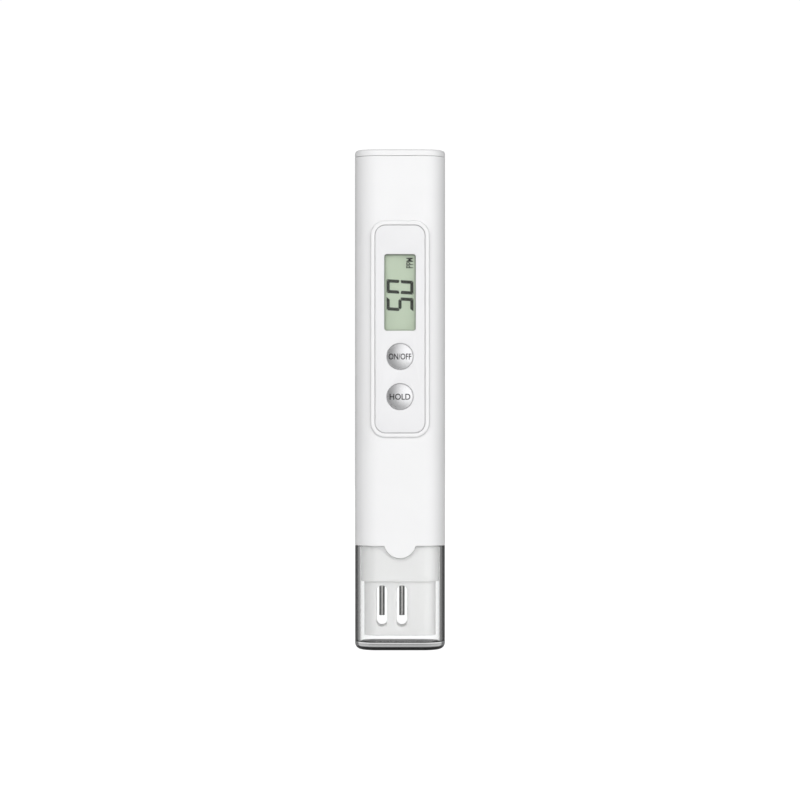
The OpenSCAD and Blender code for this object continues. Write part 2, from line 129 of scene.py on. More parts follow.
class TesterSizes(bpy.types.PropertyGroup):
    """Sizes of the finish: roundings, lettering and the display's figures"""

    rim_round: FloatProperty(
        name="Rim rounding", description="Radius of the bezel rim's outer edge",
        default=0.35 * MM, unit="LENGTH")
    foot_round: FloatProperty(
        name="Foot fillet", description="Radius of the hollow where the bezel meets the casing",
        default=0.45 * MM, unit="LENGTH")
    pocket_round: FloatProperty(
        name="Pocket rounding", description="Radius of the edge round the panel's pocket",
        default=0.2 * MM, unit="LENGTH")
    edge_round: FloatProperty(
        name="Edge rounding", description="Radius of the casing shells' free edges",
        default=0.12 * MM, unit="LENGTH")
    panel_edge: FloatProperty(
        name="Panel edge", description="Radius of the panel's edges",
        default=0.16 * MM, unit="LENGTH")
    cap_rim_round: FloatProperty(
        name="Cap rim rounding", description="Radius of the clear cap's rim",
        default=0.25 * MM, unit="LENGTH")
    cap_floor_round: FloatProperty(
        name="Cap floor fillet", description="Radius round the inside of the cap's floor",
        default=0.6 * MM, unit="LENGTH")
    digit_h: FloatProperty(
        name="Digit height", description="Height of a figure on the display",
        default=8.3 * MM, unit="LENGTH")
    digit_w: FloatProperty(
        name="Digit width", description="Width of a figure on the display",
        default=4.27 * MM, unit="LENGTH")
    digit_pitch: FloatProperty(
        name="Digit pitch", description="Distance between two figures",
        default=5.35 * MM, unit="LENGTH")
    bar_w: FloatProperty(
        name="Bar width", description="Width of a display segment",
        default=0.98 * MM, unit="LENGTH")
    letter_h: FloatProperty(
        name="Key lettering height", description="Height of the capitals on the keys",
        default=1.86 * MM, unit="LENGTH")
    reading: StringProperty(
        name="Reading", description="Figures that the display shows", default="50")


class TesterColours(bpy.types.PropertyGroup):
    """Colours of the visible finishes"""

    shell: FloatVectorProperty(
        name="Casing", description="White plastic of the casing",
        default=(0.86, 0.86, 0.865), size=3, subtype="COLOR", min=0, max=1)
    panel: FloatVectorProperty(
        name="Panel", description="Satin panel round the display and the keys",
        default=(0.82, 0.82, 0.83), size=3, subtype="COLOR", min=0, max=1)
    display: FloatVectorProperty(
        name="Display", description="Display glass behind the figures",
        default=(0.45, 0.53, 0.41), size=3, subtype="COLOR", min=0, max=1)
    ink: FloatVectorProperty(
        name="Segments", description="Dark segments of the display",
        default=(0.012, 0.020, 0.010), size=3, subtype="COLOR", min=0, max=1)
    key: FloatVectorProperty(
        name="Keys", description="Silver finish of the two keys",
        default=(0.78, 0.78, 0.79), size=3, subtype="COLOR", min=0, max=1)
    probe: FloatVectorProperty(
        name="Probe", description="White plastic of the probe head",
        default=(0.84, 0.84, 0.84), size=3, subtype="COLOR", min=0, max=1)


class StudioSettings(bpy.types.PropertyGroup):
    """Camera and light"""

    distance: FloatProperty(
        name="Camera distance", description="From the lens to the tester's middle plane",
        default=0.762, unit="LENGTH")
    lens: FloatProperty(
        name="Lens", description="Focal length in millimetres", default=110.0)
    front_power: FloatProperty(
        name="Front strip", description="Power of the narrow light behind the camera in watts",
        default=1.2)
    right_power: FloatProperty(
        name="Right strip", description="Power of the narrow light to its right in watts",
        default=1.4)


# ---- outlines ----

def spread(a, b, steps):
    """steps + 1 values from a to b"""
    return [a + (b - a) * i / steps for i in range(steps + 1)]


def notched_flat(half, rim_z, centre_z, radius, straight, bow):
    """(x, z) along a rim's flat stretch from -half to half, dipping round a circle about centre_z"""
    reach = math.sqrt(radius ** 2 - (centre_z - rim_z) ** 2)
    turn = math.asin(reach / radius)
    left = [(x, rim_z) for x in spread(-half, -reach, straight)[:-1]]
    dip = [(radius * math.sin(a), centre_z - radius * math.cos(a)) for a in spread(-turn, turn, bow)]
    return left + dip + [(-x, z) for x, z in reversed(left)]


def arc_between(cx, cy, r, a0, a1, steps):
    """Points on a circle strictly between two angles in degrees"""
    return [(cx + r * math.cos(math.radians(a)), cy + r * math.sin(math.radians(a)))
            for a in spread(a0, a1, steps)[1:-1]]


def section(w, d, r, xs=None, corner=CORNER_STEPS):
    """A round-cornered rectangle from the front's left end, counter-clockwise seen from above.

    xs are the places along the front flat; the back flat mirrors them.
    """
    fx, fy = w / 2 - r, d / 2 - r
    xs = xs or spread(-fx, fx, 8)
    points = [(x, -d / 2) for x in xs]
    points += arc_between(fx, -fy, r, -90, 0, corner)
    points += [(w / 2, -fy), (w / 2, fy)]
    points += arc_between(fx, fy, r, 0, 90, corner)
    points += [(-x, d / 2) for x in xs]
    points += arc_between(-fx, fy, r, 90, 180, corner)
    points += [(-w / 2, fy), (-w / 2, -fy)]
    points += arc_between(-fx, -fy, r, 180, 270, corner)
    return points


def level(points, z):
    """A flat ring at one height"""
    return [(x, y, z) for x, y in points]


def stack(name, profile, corner=CORNER_STEPS):
    """A closed solid from (inset from the casing's side, height) pairs"""
    return loft(name, [level(section(BODY_W - 2 * i, BODY_D - 2 * i, CORNER_R - i, corner=corner), z)
                       for i, z in profile])


def in_scene(name, data):
    """A new object in the scene"""
    made = bpy.data.objects.new(name, data)
    bpy.context.scene.collection.objects.link(made)
    return made


def finished_mesh(holder, *helpers):
    """The holder's mesh with its modifiers applied; the holder and its helpers are removed"""
    depsgraph = bpy.context.evaluated_depsgraph_get()
    mesh = bpy.data.meshes.new_from_object(holder.evaluated_get(depsgraph))
    holder.modifiers.clear()
    for thing in (holder, *helpers):
        bpy.data.objects.remove(thing)
    return mesh


def without(mesh, cutters):
    """The mesh less the cutters' volumes"""
    blank = in_scene("blank", mesh)
    tool = in_scene("tool", joined("tools", cutters))
    cut = blank.modifiers.new("Cut", "BOOLEAN")
    cut.operation = "DIFFERENCE"
    cut.solver = "EXACT"
    cut.use_self = True
    cut.object = tool
    return finished_mesh(blank, tool)


def quarter(steps):
    """(sin, cos) pairs over a quarter turn"""
    return [(math.sin(a), math.cos(a)) for a in spread(0, math.pi / 2, steps)]


# ---- meshes ----

def loft(name, rings, ring_shaped=False):
    """A closed mesh through rings of equal length; its ends are filled or joined to each other"""
    bm = bmesh.new()
    loops = [[bm.verts.new(p) for p in ring] for ring in rings]
    n = len(rings[0])
    pairs = list(zip(loops, loops[1:]))
    if ring_shaped:
        pairs.append((loops[-1], loops[0]))
    for a, b in pairs:
        for i in range(n):
            j = (i + 1) % n
            bm.faces.new((a[i], a[j], b[j], b[i]))
    if not ring_shaped:
        bm.faces.new(list(reversed(loops[0])))
        bm.faces.new(loops[-1])
    bmesh.ops.remove_doubles(bm, verts=bm.verts, dist=1e-7)
    bmesh.ops.recalc_face_normals(bm, faces=bm.faces)
    mesh = bpy.data.meshes.new(name)
    bm.to_mesh(mesh)
    bm.free()
    return mesh


def lathe(name, profile, centre, axis, steps=LATHE_STEPS):
    """A closed mesh turned round Y or Z through centre; profile is (radius, place along the axis)"""
    rings = []
    for r, along in profile:
        r = max(r, 2e-6)
        ring = []
        for i in range(steps):
            a = 2 * math.pi * i / steps
            u, v = r * math.cos(a), r * math.sin(a)
            if axis == "Y":
                ring.append((centre[0] + u, along, centre[1] + v))
            else:
                ring.append((centre[0] + u, centre[1] + v, along))
        rings.append(ring)
    return loft(name, rings)


def plate(name, outlines, y0, y1, edge):
    """A plate facing -Y from y0 back to y1; the outlines after the first are holes; edges are rounded"""
    curve = bpy.data.curves.new(name, "CURVE")
    curve.dimensions = "2D"
    curve.fill_mode = "BOTH"
    for outline in outlines:
        spline = curve.splines.new("POLY")
        spline.points.add(len(outline) - 1)
        spline.use_cyclic_u = True
        for point, (x, z) in zip(spline.points, outline):
            point.co = (x, z, 0, 1)
    curve.bevel_depth = edge
    curve.bevel_resolution = 2
    curve.offset = -edge
    curve.extrude = (y1 - y0) / 2 - edge
    return curve_mesh(name, curve, Matrix.Translation((0, (y0 + y1) / 2, 0))
                      @ Matrix.Rotation(math.pi / 2, 4, "X"))


def prism(name, outline, y0, y1):
    """A straight-sided solid facing -Y"""
    return loft(name, [[(x, y, z) for x, z in outline] for y in (y0, y1)])


def curve_mesh(name, curve, place):
    """The mesh of a curve or a text, moved to its place"""
    mesh = finished_mesh(in_scene(name + "_outline", curve))
    mesh.transform(place)
    tidy_mesh(mesh)
    mesh.name = name
    return mesh


def tidy_mesh(mesh, dist=1e-7):
    """Merges doubles and turns every face outwards"""
    bm = bmesh.new()
    bm.from_mesh(mesh)
    bmesh.ops.remove_doubles(bm, verts=bm.verts, dist=dist)
    bmesh.ops.recalc_face_normals(bm, faces=bm.faces)
    bm.to_mesh(mesh)
    bm.free()


def joined(name, meshes):
    """One mesh from several"""
    bm = bmesh.new()
    for mesh in meshes:
        bm.from_mesh(mesh)
    result = bpy.data.meshes.new(name)
    bm.to_mesh(result)
    bm.free()
    return result


def softened(node, name, width, angle=32, flat=3):
    """A copy of a CAD node's mesh with its edges rounded"""
    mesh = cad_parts[node].data.copy()
    mesh.materials.clear()
    bm = bmesh.new()
    bm.from_mesh(mesh)
    bmesh.ops.remove_doubles(bm, verts=bm.verts, dist=2e-6)
    bmesh.ops.dissolve_limit(
        bm, angle_limit=math.radians(0.5), verts=bm.verts, edges=bm.edges, delimit={"NORMAL"})
    bmesh.ops.recalc_face_normals(bm, faces=bm.faces)
    bm.to_mesh(mesh)
    bm.free()
    holder = in_scene(name + "_rough", mesh)
    bevel = holder.modifiers.new("Rounded edges", "BEVEL")
    bevel.width = width
    bevel.segments = flat
    bevel.limit_method = "ANGLE"
    bevel.angle_limit = math.radians(angle)
    bevel.use_clamp_overlap = True
    bevel.harden_normals = True
    return finished_mesh(holder)


def piece(name, mesh, material, body, nodes=(), angle=35):
    """Shows a finished mesh: shaded smooth up to angle, riding on its body in place of CAD nodes"""
    mesh.name = name
    mesh.materials.clear()
    mesh.materials.append(material)
    mesh.polygons.foreach_set("material_index", [0] * len(mesh.polygons))
    mesh.shade_smooth()
    mesh.set_sharp_from_angle(angle=math.radians(angle))
    mesh.update()
    made = in_scene(name, mesh)
    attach(made, body)
    if nodes:
        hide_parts(*nodes)
    return made


# ---- materials ----

class Paint:
    """A material under construction: a shader and the nodes that feed it"""

    def __init__(self, name, colour, roughness, metallic=0.0, **sockets):
        self.material = bpy.data.materials.new(name)
        self.material.use_nodes = True
        self.nodes = self.material.node_tree.nodes
        self.links = self.material.node_tree.links
        self.shader = self.nodes["Principled BSDF"]
        self.output = self.nodes["Material Output"]
        self.shader.inputs["Base Color"].default_value = (*colour, 1)
        self.shader.inputs["Roughness"].default_value = roughness
        self.shader.inputs["Metallic"].default_value = metallic
        for socket, value in sockets.items():
            self.shader.inputs[socket.replace("_", " ")].default_value = value
        self.colour = colour
        self.roughness = roughness
        self.bump_chain = None
        coords = self.nodes.new("ShaderNodeTexCoord")
        self.coords = coords.outputs["Object"]

    def add(self, kind, **settings):
        node = self.nodes.new(kind)
        for key, value in settings.items():
            setattr(node, key, value)
        return node

    def stretch(self, scale):
        """Object coordinates scaled per axis"""
        mapping = self.add("ShaderNodeMapping")
        mapping.inputs["Scale"].default_value = scale
        self.links.new(self.coords, mapping.inputs["Vector"])
        return mapping.outputs["Vector"]

    def noise(self, scale, detail=3.0, rough=0.5, stretch=(1, 1, 1)):
        """Noise with scale features a metre"""
        node = self.add("ShaderNodeTexNoise")
        node.inputs["Scale"].default_value = scale
        node.inputs["Detail"].default_value = detail
        node.inputs["Roughness"].default_value = rough
        self.links.new(self.stretch(stretch), node.inputs["Vector"])
        return node.outputs["Fac"]

    def remap(self, value, low, high, out_low, out_high):
        node = self.add("ShaderNodeMapRange")
        node.clamp = True
        for socket, amount in zip(("From Min", "From Max", "To Min", "To Max"),
                                  (low, high, out_low, out_high)):
            node.inputs[socket].default_value = amount
        self.links.new(value, node.inputs["Value"])
        return node.outputs["Result"]

    def mix(self, factor, a, b):
        """Mixes two colours, given as a tuple or a socket"""
        node = self.add("ShaderNodeMix", data_type="RGBA")
        self.links.new(factor, node.inputs["Factor"])
        for socket, value in ((node.inputs[6], a), (node.inputs[7], b)):
            if isinstance(value, tuple):
                socket.default_value = (*value, 1)
            else:
                self.links.new(value, socket)
        return node.outputs[2]

    def vary_colour(self, amount, scale, stretch=(1, 1, 1)):
        """Makes the base colour a little darker in patches"""
        dark = tuple(c * (1 - amount) for c in self.colour)
        spots = self.remap(self.noise(scale, 4, 0.55, stretch), 0.35, 0.65, 0, 1)
        self.set_colour(self.mix(spots, tuple(self.colour), dark))
        return self

    def set_colour(self, value):
        self.links.new(value, self.shader.inputs["Base Color"])

    def vary_roughness(self, amount, scale, stretch=(1, 1, 1)):
        """Lets the roughness wander by amount to each side"""
        value = self.remap(self.noise(scale, 3, 0.6, stretch), 0.3, 0.7,
                           max(0.0, self.roughness - amount), self.roughness + amount)
        self.links.new(value, self.shader.inputs["Roughness"])
        return self

    def grain(self, scale, height, stretch=(1, 1, 1), detail=2.0, strength=1.0):
        """Adds a bump of the given height in metres"""
        return self.relief(self.noise(scale, detail, 0.5, stretch), height, strength)

    def relief(self, value, height, strength=1.0):
        bump = self.add("ShaderNodeBump")
        bump.inputs["Distance"].default_value = height
        bump.inputs["Strength"].default_value = strength
        self.links.new(value, bump.inputs["Height"])
        if self.bump_chain:
            self.links.new(self.bump_chain, bump.inputs["Normal"])
        self.bump_chain = bump.outputs["Normal"]
        self.links.new(self.bump_chain, self.shader.inputs["Normal"])
        return self

    def scratches(self, scale, amount, stretch):
        """Fine hairlines that roughen and dent the surface"""
        lines = self.remap(self.noise(scale, 2, 0.4, stretch), 0.62, 0.7, 0, 1)
        return self.relief(lines, amount)

    def let_light_through(self):
        """Shadow rays pass straight through a clear shader"""
        clear = self.add("ShaderNodeBsdfTransparent")
        path = self.add("ShaderNodeLightPath")
        blend = self.add("ShaderNodeMixShader")
        self.links.new(path.outputs["Is Shadow Ray"], blend.inputs["Fac"])
        self.links.new(self.shader.outputs["BSDF"], blend.inputs[1])
        self.links.new(clear.outputs["BSDF"], blend.inputs[2])
        self.links.new(blend.outputs["Shader"], self.output.inputs["Surface"])
        return self


def colours():
    return bpy.context.scene.tester_colours


def sizes():
    return bpy.context.scene.tester_sizes


def moulded_white(name, colour, roughness=0.17, warmth=0.0):
    """Glossy moulded plastic: faint flow clouds, fine texture and handling hairlines"""
    tone = (colour[0], colour[1] * (1 - warmth * 0.3), colour[2] * (1 - warmth))
    paint = Paint(name, tone, roughness, IOR=1.5)
    paint.vary_colour(0.012, 90).vary_roughness(0.03, 220)
    paint.grain(5200, 0.002 * MM).grain(260, 0.004 * MM, (1, 1, 0.4))
    paint.scratches(900, 0.0015 * MM, (1, 1, 0.05))
    return paint.material


def panel_film():
    """Satin film with a very fine matt grain"""
    paint = Paint("Panel film", tuple(colours().panel), 0.42, IOR=1.48)
    paint.vary_colour(0.01, 140).vary_roughness(0.04, 900)
    paint.grain(9000, 0.003 * MM).grain(1500, 0.001 * MM)
    return paint.material


def silver_key():
    """Pearl-silver lacquer with metal flakes"""
    paint = Paint("Silver lacquer", tuple(colours().key), 0.3, 0.9)
    flakes = paint.add("ShaderNodeTexVoronoi")
    flakes.inputs["Scale"].default_value = 9000
    paint.links.new(paint.coords, flakes.inputs["Vector"])
    glint = paint.remap(flakes.outputs["Distance"], 0.1, 0.7, 0, 1)
    paint.set_colour(paint.mix(glint, tuple(colours().key), (0.66, 0.66, 0.67)))
    paint.vary_roughness(0.04, 1200).grain(7000, 0.0012 * MM)
    return paint.material


def lettering_ink():
    paint = Paint("Lettering ink", (0.03, 0.03, 0.034), 0.6, Specular_IOR_Level=0.1)
    paint.vary_colour(0.25, 5000).vary_roughness(0.08, 3000).grain(8000, 0.002 * MM)
    return paint.material


def display_glass():
    """Pale green-grey glass with a painted shadow: a little darker along the window's edge, where the
    window's wall shades it
    """
    paint = Paint("Display glass", tuple(colours().display), 0.5, Specular_IOR_Level=0.2)
    split = paint.add("ShaderNodeSeparateXYZ")
    paint.links.new(paint.coords, split.inputs["Vector"])
    edge_x = edge_distance(paint, split.outputs["X"], 0, WINDOW_W / 2)
    edge_z = edge_distance(paint, split.outputs["Z"], WINDOW_Z, WINDOW_H / 2)
    nearest = paint.add("ShaderNodeMath", operation="MINIMUM")
    paint.links.new(edge_x, nearest.inputs[0])
    paint.links.new(edge_z, nearest.inputs[1])
    # Painted shadow of the window's wall: the colour darkens within half a millimetre of the window's edge
    shade = paint.remap(nearest.outputs[0], 0.05 * MM, 0.55 * MM, 0, 1)
    pale = tuple(colours().display)
    rim = tuple(c * 0.62 for c in pale)
    clouds = paint.remap(paint.noise(260, 3), 0.3, 0.7, 0, 1)
    body = paint.mix(clouds, pale, tuple(c * 0.97 for c in pale))
    paint.set_colour(paint.mix(shade, rim, body))
    paint.vary_roughness(0.04, 700).grain(6000, 0.001 * MM)
    return paint.material


def edge_distance(paint, coordinate, centre, half):
    """How far a coordinate is inside the span centre - half to centre + half"""
    shift = paint.add("ShaderNodeMath", operation="SUBTRACT")
    shift.inputs[1].default_value = centre
    paint.links.new(coordinate, shift.inputs[0])
    size = paint.add("ShaderNodeMath", operation="ABSOLUTE")
    paint.links.new(shift.outputs[0], size.inputs[0])
    inside = paint.add("ShaderNodeMath", operation="SUBTRACT")
    inside.inputs[0].default_value = half
    paint.links.new(size.outputs[0], inside.inputs[1])
    return inside.outputs[0]


def segment_ink():
    paint = Paint("Display segments", tuple(colours().ink), 0.4)
    paint.vary_colour(0.3, 3000).vary_roughness(0.05, 2000).grain(6000, 0.001 * MM)
    return paint.material


def clear_plastic(name, tint, roughness, ior):
    """Clear styrene with faint flow waves and rubbed patches"""
    paint = Paint(name, tint, roughness, IOR=ior, Transmission_Weight=1.0)
    paint.vary_roughness(roughness * 0.6, 300)
    paint.grain(70, 0.001 * MM, (1, 1, 0.5)).scratches(1100, 0.0004 * MM, (1, 1, 0.04))
    return paint


def cap_plastic():
    """Clear plastic with painted shade: its colour turns dark grey where its outside is seen edge-on and
    almost black in its solid foot
    """
    tint = (0.985, 0.99, 0.99)
    paint = clear_plastic("Cap plastic", tint, 0.012, 1.5)
    split = paint.add("ShaderNodeSeparateXYZ")
    paint.links.new(paint.coords, split.inputs["Vector"])
    corner = paint.add("ShaderNodeCombineXYZ")
    flats = (BODY_W / 2 - CORNER_R, BODY_D / 2 - CORNER_R)
    for axis, flat in zip("XY", flats):
        beyond = edge_distance(paint, split.outputs[axis], 0, flat)
        paint.links.new(paint.remap(beyond, -CORNER_R, 0, CORNER_R, 0), corner.inputs[axis])
    radius = paint.add("ShaderNodeVectorMath", operation="LENGTH")
    paint.links.new(corner.outputs["Vector"], radius.inputs[0])
    outside = paint.remap(radius.outputs["Value"], CORNER_R - 1.0 * MM, CORNER_R - 0.8 * MM, 0, 1)
    # Painted shade: the outer skin of the wall turns dark grey where it is seen edge-on
    facing = paint.add("ShaderNodeLayerWeight").outputs["Facing"]
    painted_edge_shade = paint.add("ShaderNodeMath", operation="MULTIPLY")
    paint.links.new(outside, painted_edge_shade.inputs[0])
    paint.links.new(paint.remap(facing, 0.4, 0.52, 0, 1), painted_edge_shade.inputs[1])
    walls_with_painted_shade = paint.mix(painted_edge_shade.outputs[0], tint, (0.06, 0.062, 0.064))
    # Painted shade: the solid foot is coloured almost black
    foot = paint.remap(split.outputs["Z"], 1.2 * MM, 2.1 * MM, 1, 0)
    paint.set_colour(paint.mix(foot, walls_with_painted_shade, (0.004, 0.004, 0.004)))
    return paint


def steel(name, colour, roughness, stretch):
    """Drawn metal with hairlines along its length"""
    paint = Paint(name, colour, roughness, 1.0)
    paint.vary_colour(0.12, 900, stretch).vary_roughness(0.06, 1400, stretch)
    paint.grain(4200, 0.002 * MM, stretch)
    return paint.material


def pin_steel():
    """Polished round bars with a painted reflection: bright along their fronts and backs and painted dark
    along the sides
    """
    bright = (0.66, 0.65, 0.64)
    paint = Paint("Pin steel", bright, 0.16, 1.0)
    split = paint.add("ShaderNodeSeparateXYZ")
    paint.links.new(paint.coords, split.inputs["Vector"])
    middle, half_pitch = (PIN_XS[0] + PIN_XS[1]) / 2, (PIN_XS[1] - PIN_XS[0]) / 2
    from_axis = edge_distance(paint, split.outputs["X"], middle, half_pitch)
    off_axis = paint.add("ShaderNodeMath", operation="ABSOLUTE")
    paint.links.new(from_axis, off_axis.inputs[0])
    # Painted shade: the base colour darkens towards each bar's sides, standing in for the dark bore they
    # reflect
    side = paint.remap(off_axis.outputs[0], 0.2 * PIN_R, 0.51 * PIN_R, 0, 1)
    paint.set_colour(paint.mix(side, bright, (0.08, 0.08, 0.08)))
    paint.vary_roughness(0.05, 1400, (1, 1, 0.03)).grain(4200, 0.002 * MM, (1, 1, 0.03))
    return paint.material


def black_rubber():
    paint = Paint("Seal rubber", (0.022, 0.022, 0.024), 0.62)
    paint.vary_colour(0.35, 700).vary_roughness(0.12, 900)
    paint.grain(3800, 0.008 * MM).grain(500, 0.01 * MM)
    return paint.material


def board_green():
    """Solder mask over copper tracks, with a fine weave underneath"""
    paint = Paint("Circuit board", (0.012, 0.115, 0.05), 0.34, Coat_Weight=0.4, Coat_Roughness=0.1)
    tracks = paint.add("ShaderNodeTexBrick", offset=0.37, offset_frequency=2)
    tracks.inputs["Scale"].default_value = 260
    tracks.inputs["Mortar Size"].default_value = 0.04
    tracks.inputs["Color1"].default_value = (0, 0, 0, 1)
    tracks.inputs["Color2"].default_value = (0, 0, 0, 1)
    tracks.inputs["Mortar"].default_value = (1, 1, 1, 1)
    turned = paint.add("ShaderNodeMapping")
    turned.inputs["Rotation"].default_value = (math.pi / 2, 0, 0)
    paint.links.new(paint.coords, turned.inputs["Vector"])
    paint.links.new(turned.outputs["Vector"], tracks.inputs["Vector"])
    paint.set_colour(paint.mix(tracks.outputs["Fac"], (0.012, 0.115, 0.05), (0.03, 0.23, 0.10)))
    paint.vary_roughness(0.08, 900)
    paint.relief(tracks.outputs["Fac"], 0.02 * MM).grain(4000, 0.003 * MM, (1, 1, 0.2))
    return paint.material


def striped_rubber():
    """Layers of black and grey silicone that carry the display's contacts"""
    paint = Paint("Layered rubber", (0.03, 0.03, 0.032), 0.6)
    layers = paint.add("ShaderNodeTexWave", wave_type="BANDS", bands_direction="Z")
    layers.inputs["Scale"].default_value = 1600
    paint.links.new(paint.coords, layers.inputs["Vector"])
    paint.set_colour(paint.mix(layers.outputs["Fac"], (0.03, 0.03, 0.032), (0.45, 0.45, 0.44)))
    paint.vary_roughness(0.1, 900).relief(layers.outputs["Fac"], 0.01 * MM)
    return paint.material


def dull_resin(name, colour, roughness):
    paint = Paint(name, colour, roughness)
    paint.vary_colour(0.3, 600).vary_roughness(0.1, 1200)
    paint.grain(2500, 0.01 * MM).grain(300, 0.03 * MM)
    return paint.material


# ---- the casing ----

def around_body(x):
    """How far round the front of the section a point with this x lies"""
    side = math.copysign(1, x)
    if abs(x) <= FLAT_X:
        return x
    return side * (FLAT_X + CORNER_R * math.asin((abs(x) - FLAT_X) / CORNER_R))


def on_body(u, z, lift):
    """The point at distance u round the section from the front's middle, lifted off the surface"""
    side, u = math.copysign(1, u), abs(u)
    if u <= FLAT_X:
        return (side * u, FRONT_Y - lift, z)
    if u <= FLAT_X + HALF_TURN:
        a = (u - FLAT_X) / CORNER_R
        return (side * (FLAT_X + (CORNER_R + lift) * math.sin(a)),
                -FLAT_Y - (CORNER_R + lift) * math.cos(a), z)
    return (side * (BODY_W / 2 + lift), -FLAT_Y + (u - FLAT_X - HALF_TURN), z)


END_STEPS = (16, 24)  # straight and round stretches along a shell's lower and upper edge
SIDE_STEPS = 40
TURN_STEPS = 12
TURN_REACH = 3 * MM  # how much of the edges belongs to a corner
SUPPORT = 0.996  # a ring just inside the edge keeps the shading of the flat side even


def shell_edge(inset):
    """(u, z) round a casing shell's free edge, counter-clockwise from the lower left"""
    u1 = HALF_GIRTH - inset
    z0, z1 = CASING_Z0 + inset, CASING_Z1 - inset
    bottom = notched_flat(HALF_GIRTH - TURN_REACH, z0, TONGUE_Z, TONGUE_R - inset, *END_STEPS)
    half = TURN_STEPS // 2
    low = spread(HALF_GIRTH - TURN_REACH, u1, half)[1:]
    rise = spread(z0, CASING_Z0 + TURN_REACH, half)[1:-1]
    right_low = [(u, z0) for u in low] + [(u1, z) for z in rise]
    sides = spread(CASING_Z0 + TURN_REACH, CASING_Z1 - TURN_REACH, SIDE_STEPS)
    climb = spread(CASING_Z1 - TURN_REACH, z1, half)[1:]
    right_high = [(u1, z) for z in climb] + [(u, z1) for u in reversed(low[:-1])]
    right = right_low + [(u1, z) for z in sides] + right_high
    top = [(-x, z1) for x, _ in bottom]
    left = [(-u, z) for u, z in reversed(right)]
    return bottom + right + top + left


def panel_ring():
    """(x, z, outward x, outward z) round the panel's pocket, matching shell_edge point by point"""
    hx = panel_high.x + PANEL_FIT
    hz = (panel_high.z - panel_low.z) / 2 + PANEL_FIT
    mid = (panel_high.z + panel_low.z) / 2
    r = PANEL_R + PANEL_FIT
    end_steps = 2 * END_STEPS[0] + END_STEPS[1]
    ring = [(x, mid - hz, 0, -1) for x in spread(-hx + r, hx - r, end_steps)]

    def corner(cx, cz, start):
        turns = [math.radians(a) for a in spread(start, start + 90, TURN_STEPS)[1:-1]]
        return [(cx + r * math.cos(a), cz + r * math.sin(a), math.cos(a), math.sin(a)) for a in turns]

    ring += corner(hx - r, mid - hz + r, -90)
    ring += [(hx, z, 1, 0) for z in spread(mid - hz + r, mid + hz - r, SIDE_STEPS)]
    ring += corner(hx - r, mid + hz - r, 0)
    ring += [(-x, mid + hz, 0, 1) for x in spread(-hx + r, hx - r, end_steps)]
    ring += corner(-hx + r, mid + hz - r, 90)
    ring += [(-hx, -z + 2 * mid, -1, 0) for z in spread(mid - hz + r, mid + hz - r, SIDE_STEPS)]
    ring += corner(-hx + r, mid - hz + r, 180)
    return ring


def grown(ring, by):
    """The pocket's outline moved outwards; by is one distance or one for each point"""
    moves = by if isinstance(by, list) else [by] * len(ring)
    return [(x + nx * m, z + nz * m) for (x, z, nx, nz), m in zip(ring, moves)]


def blend_rings(inner, outer, t):
    return [(a[0] + (b[0] - a[0]) * t, a[1] + (b[1] - a[1]) * t) for a, b in zip(inner, outer)]


def unrolled(points):
    return [(around_body(x), z) for x, z in points]


def bezel_rings(ring):
    """The rim round the pocket and its hollow foot, from the pocket's edge out to the casing"""
    s = sizes()
    rings = []
    for sin_a, cos_a in quarter(4):
        rings.append([(x, RIM_Y + s.pocket_round * (1 - sin_a), z)
                      for x, z in grown(ring, s.pocket_round * (1 - cos_a))])
    start = RIM_W - s.rim_round
    turns, reaches = [], []
    for x, z, nx, nz in ring:
        out = RIM_W
        for _ in range(3):
            height = on_body(around_body(x + nx * out), 0, 0)[1] - RIM_Y
            turn = math.acos(1 - height / (s.rim_round + s.foot_round))
            out = start + s.rim_round * math.sin(turn)
        turns.append(turn)
        reaches.append(start + (s.rim_round + s.foot_round) * math.sin(turn))
    for t in spread(0, 1, 6):
        by = [start + s.rim_round * math.sin(turn * t) for turn in turns]
        drop = [s.rim_round * (1 - math.cos(turn * t)) for turn in turns]
        rings.append([(x, RIM_Y + d, z) for (x, z), d in zip(grown(ring, by), drop)])
    for t in spread(1, 0, 9)[1:]:
        by = [reach - s.foot_round * math.sin(turn * t) for reach, turn in zip(reaches, turns)]
        lift = [s.foot_round * (1 - math.cos(turn * t)) for turn in turns]
        ring_3d = []
        for (x, z), h in zip(grown(ring, by), lift):
            px, py, pz = on_body(around_body(x), z, 0)
            ring_3d.append((px, py - h, pz))
        rings.append(ring_3d)
    return rings, unrolled(grown(ring, reaches))


def wall_at(z, inner_edge):
    return LIP_T if inner_edge and z < CASING_Z0 + LIP_H else WALL


def shell_mesh(name, with_bezel):
    """Half of the casing: one closed skin, with or without the bezel and its opening"""
    s = sizes()
    ring = panel_ring()
    opening = grown(ring, -LEDGE_W - PANEL_FIT)
    core = unrolled(opening)
    rings = []
    for t in spread(0, 1, 12)[:-1]:
        inset = LIP_H + LIP_EASE
        rings.append([on_body(u, z, -WALL) for u, z in blend_rings(core, shell_edge(inset), t)])
    rings.append([on_body(u, z, -WALL) for u, z in shell_edge(LIP_H + LIP_EASE)])
    for inset in (LIP_H - LIP_EASE, 0):
        rings.append([on_body(u, z, -wall_at(z, True)) for u, z in shell_edge(inset)])
    for sin_a, cos_a in quarter(3):
        rings.append([on_body(u, z, -s.edge_round * (1 - sin_a))
                      for u, z in shell_edge(s.edge_round * (1 - cos_a))])
    if with_bezel:
        bezel, foot = bezel_rings(ring)
    else:
        bezel, foot = [], core
    outer = shell_edge(s.edge_round)
    for t in [SUPPORT] + spread(1, 0, 18)[1:]:
        rings.append([on_body(u, z, 0) for u, z in blend_rings(foot, outer, t)])
    if not with_bezel:
        return loft(name, rings)
    rings += list(reversed(bezel[:-1]))
    pocket = grown(ring, 0)
    rings.append([(x, panel_high.y, z) for x, z in pocket])
    rings.append([(x, panel_high.y, z) for x, z in opening])
    return loft(name, rings, ring_shaped=True)


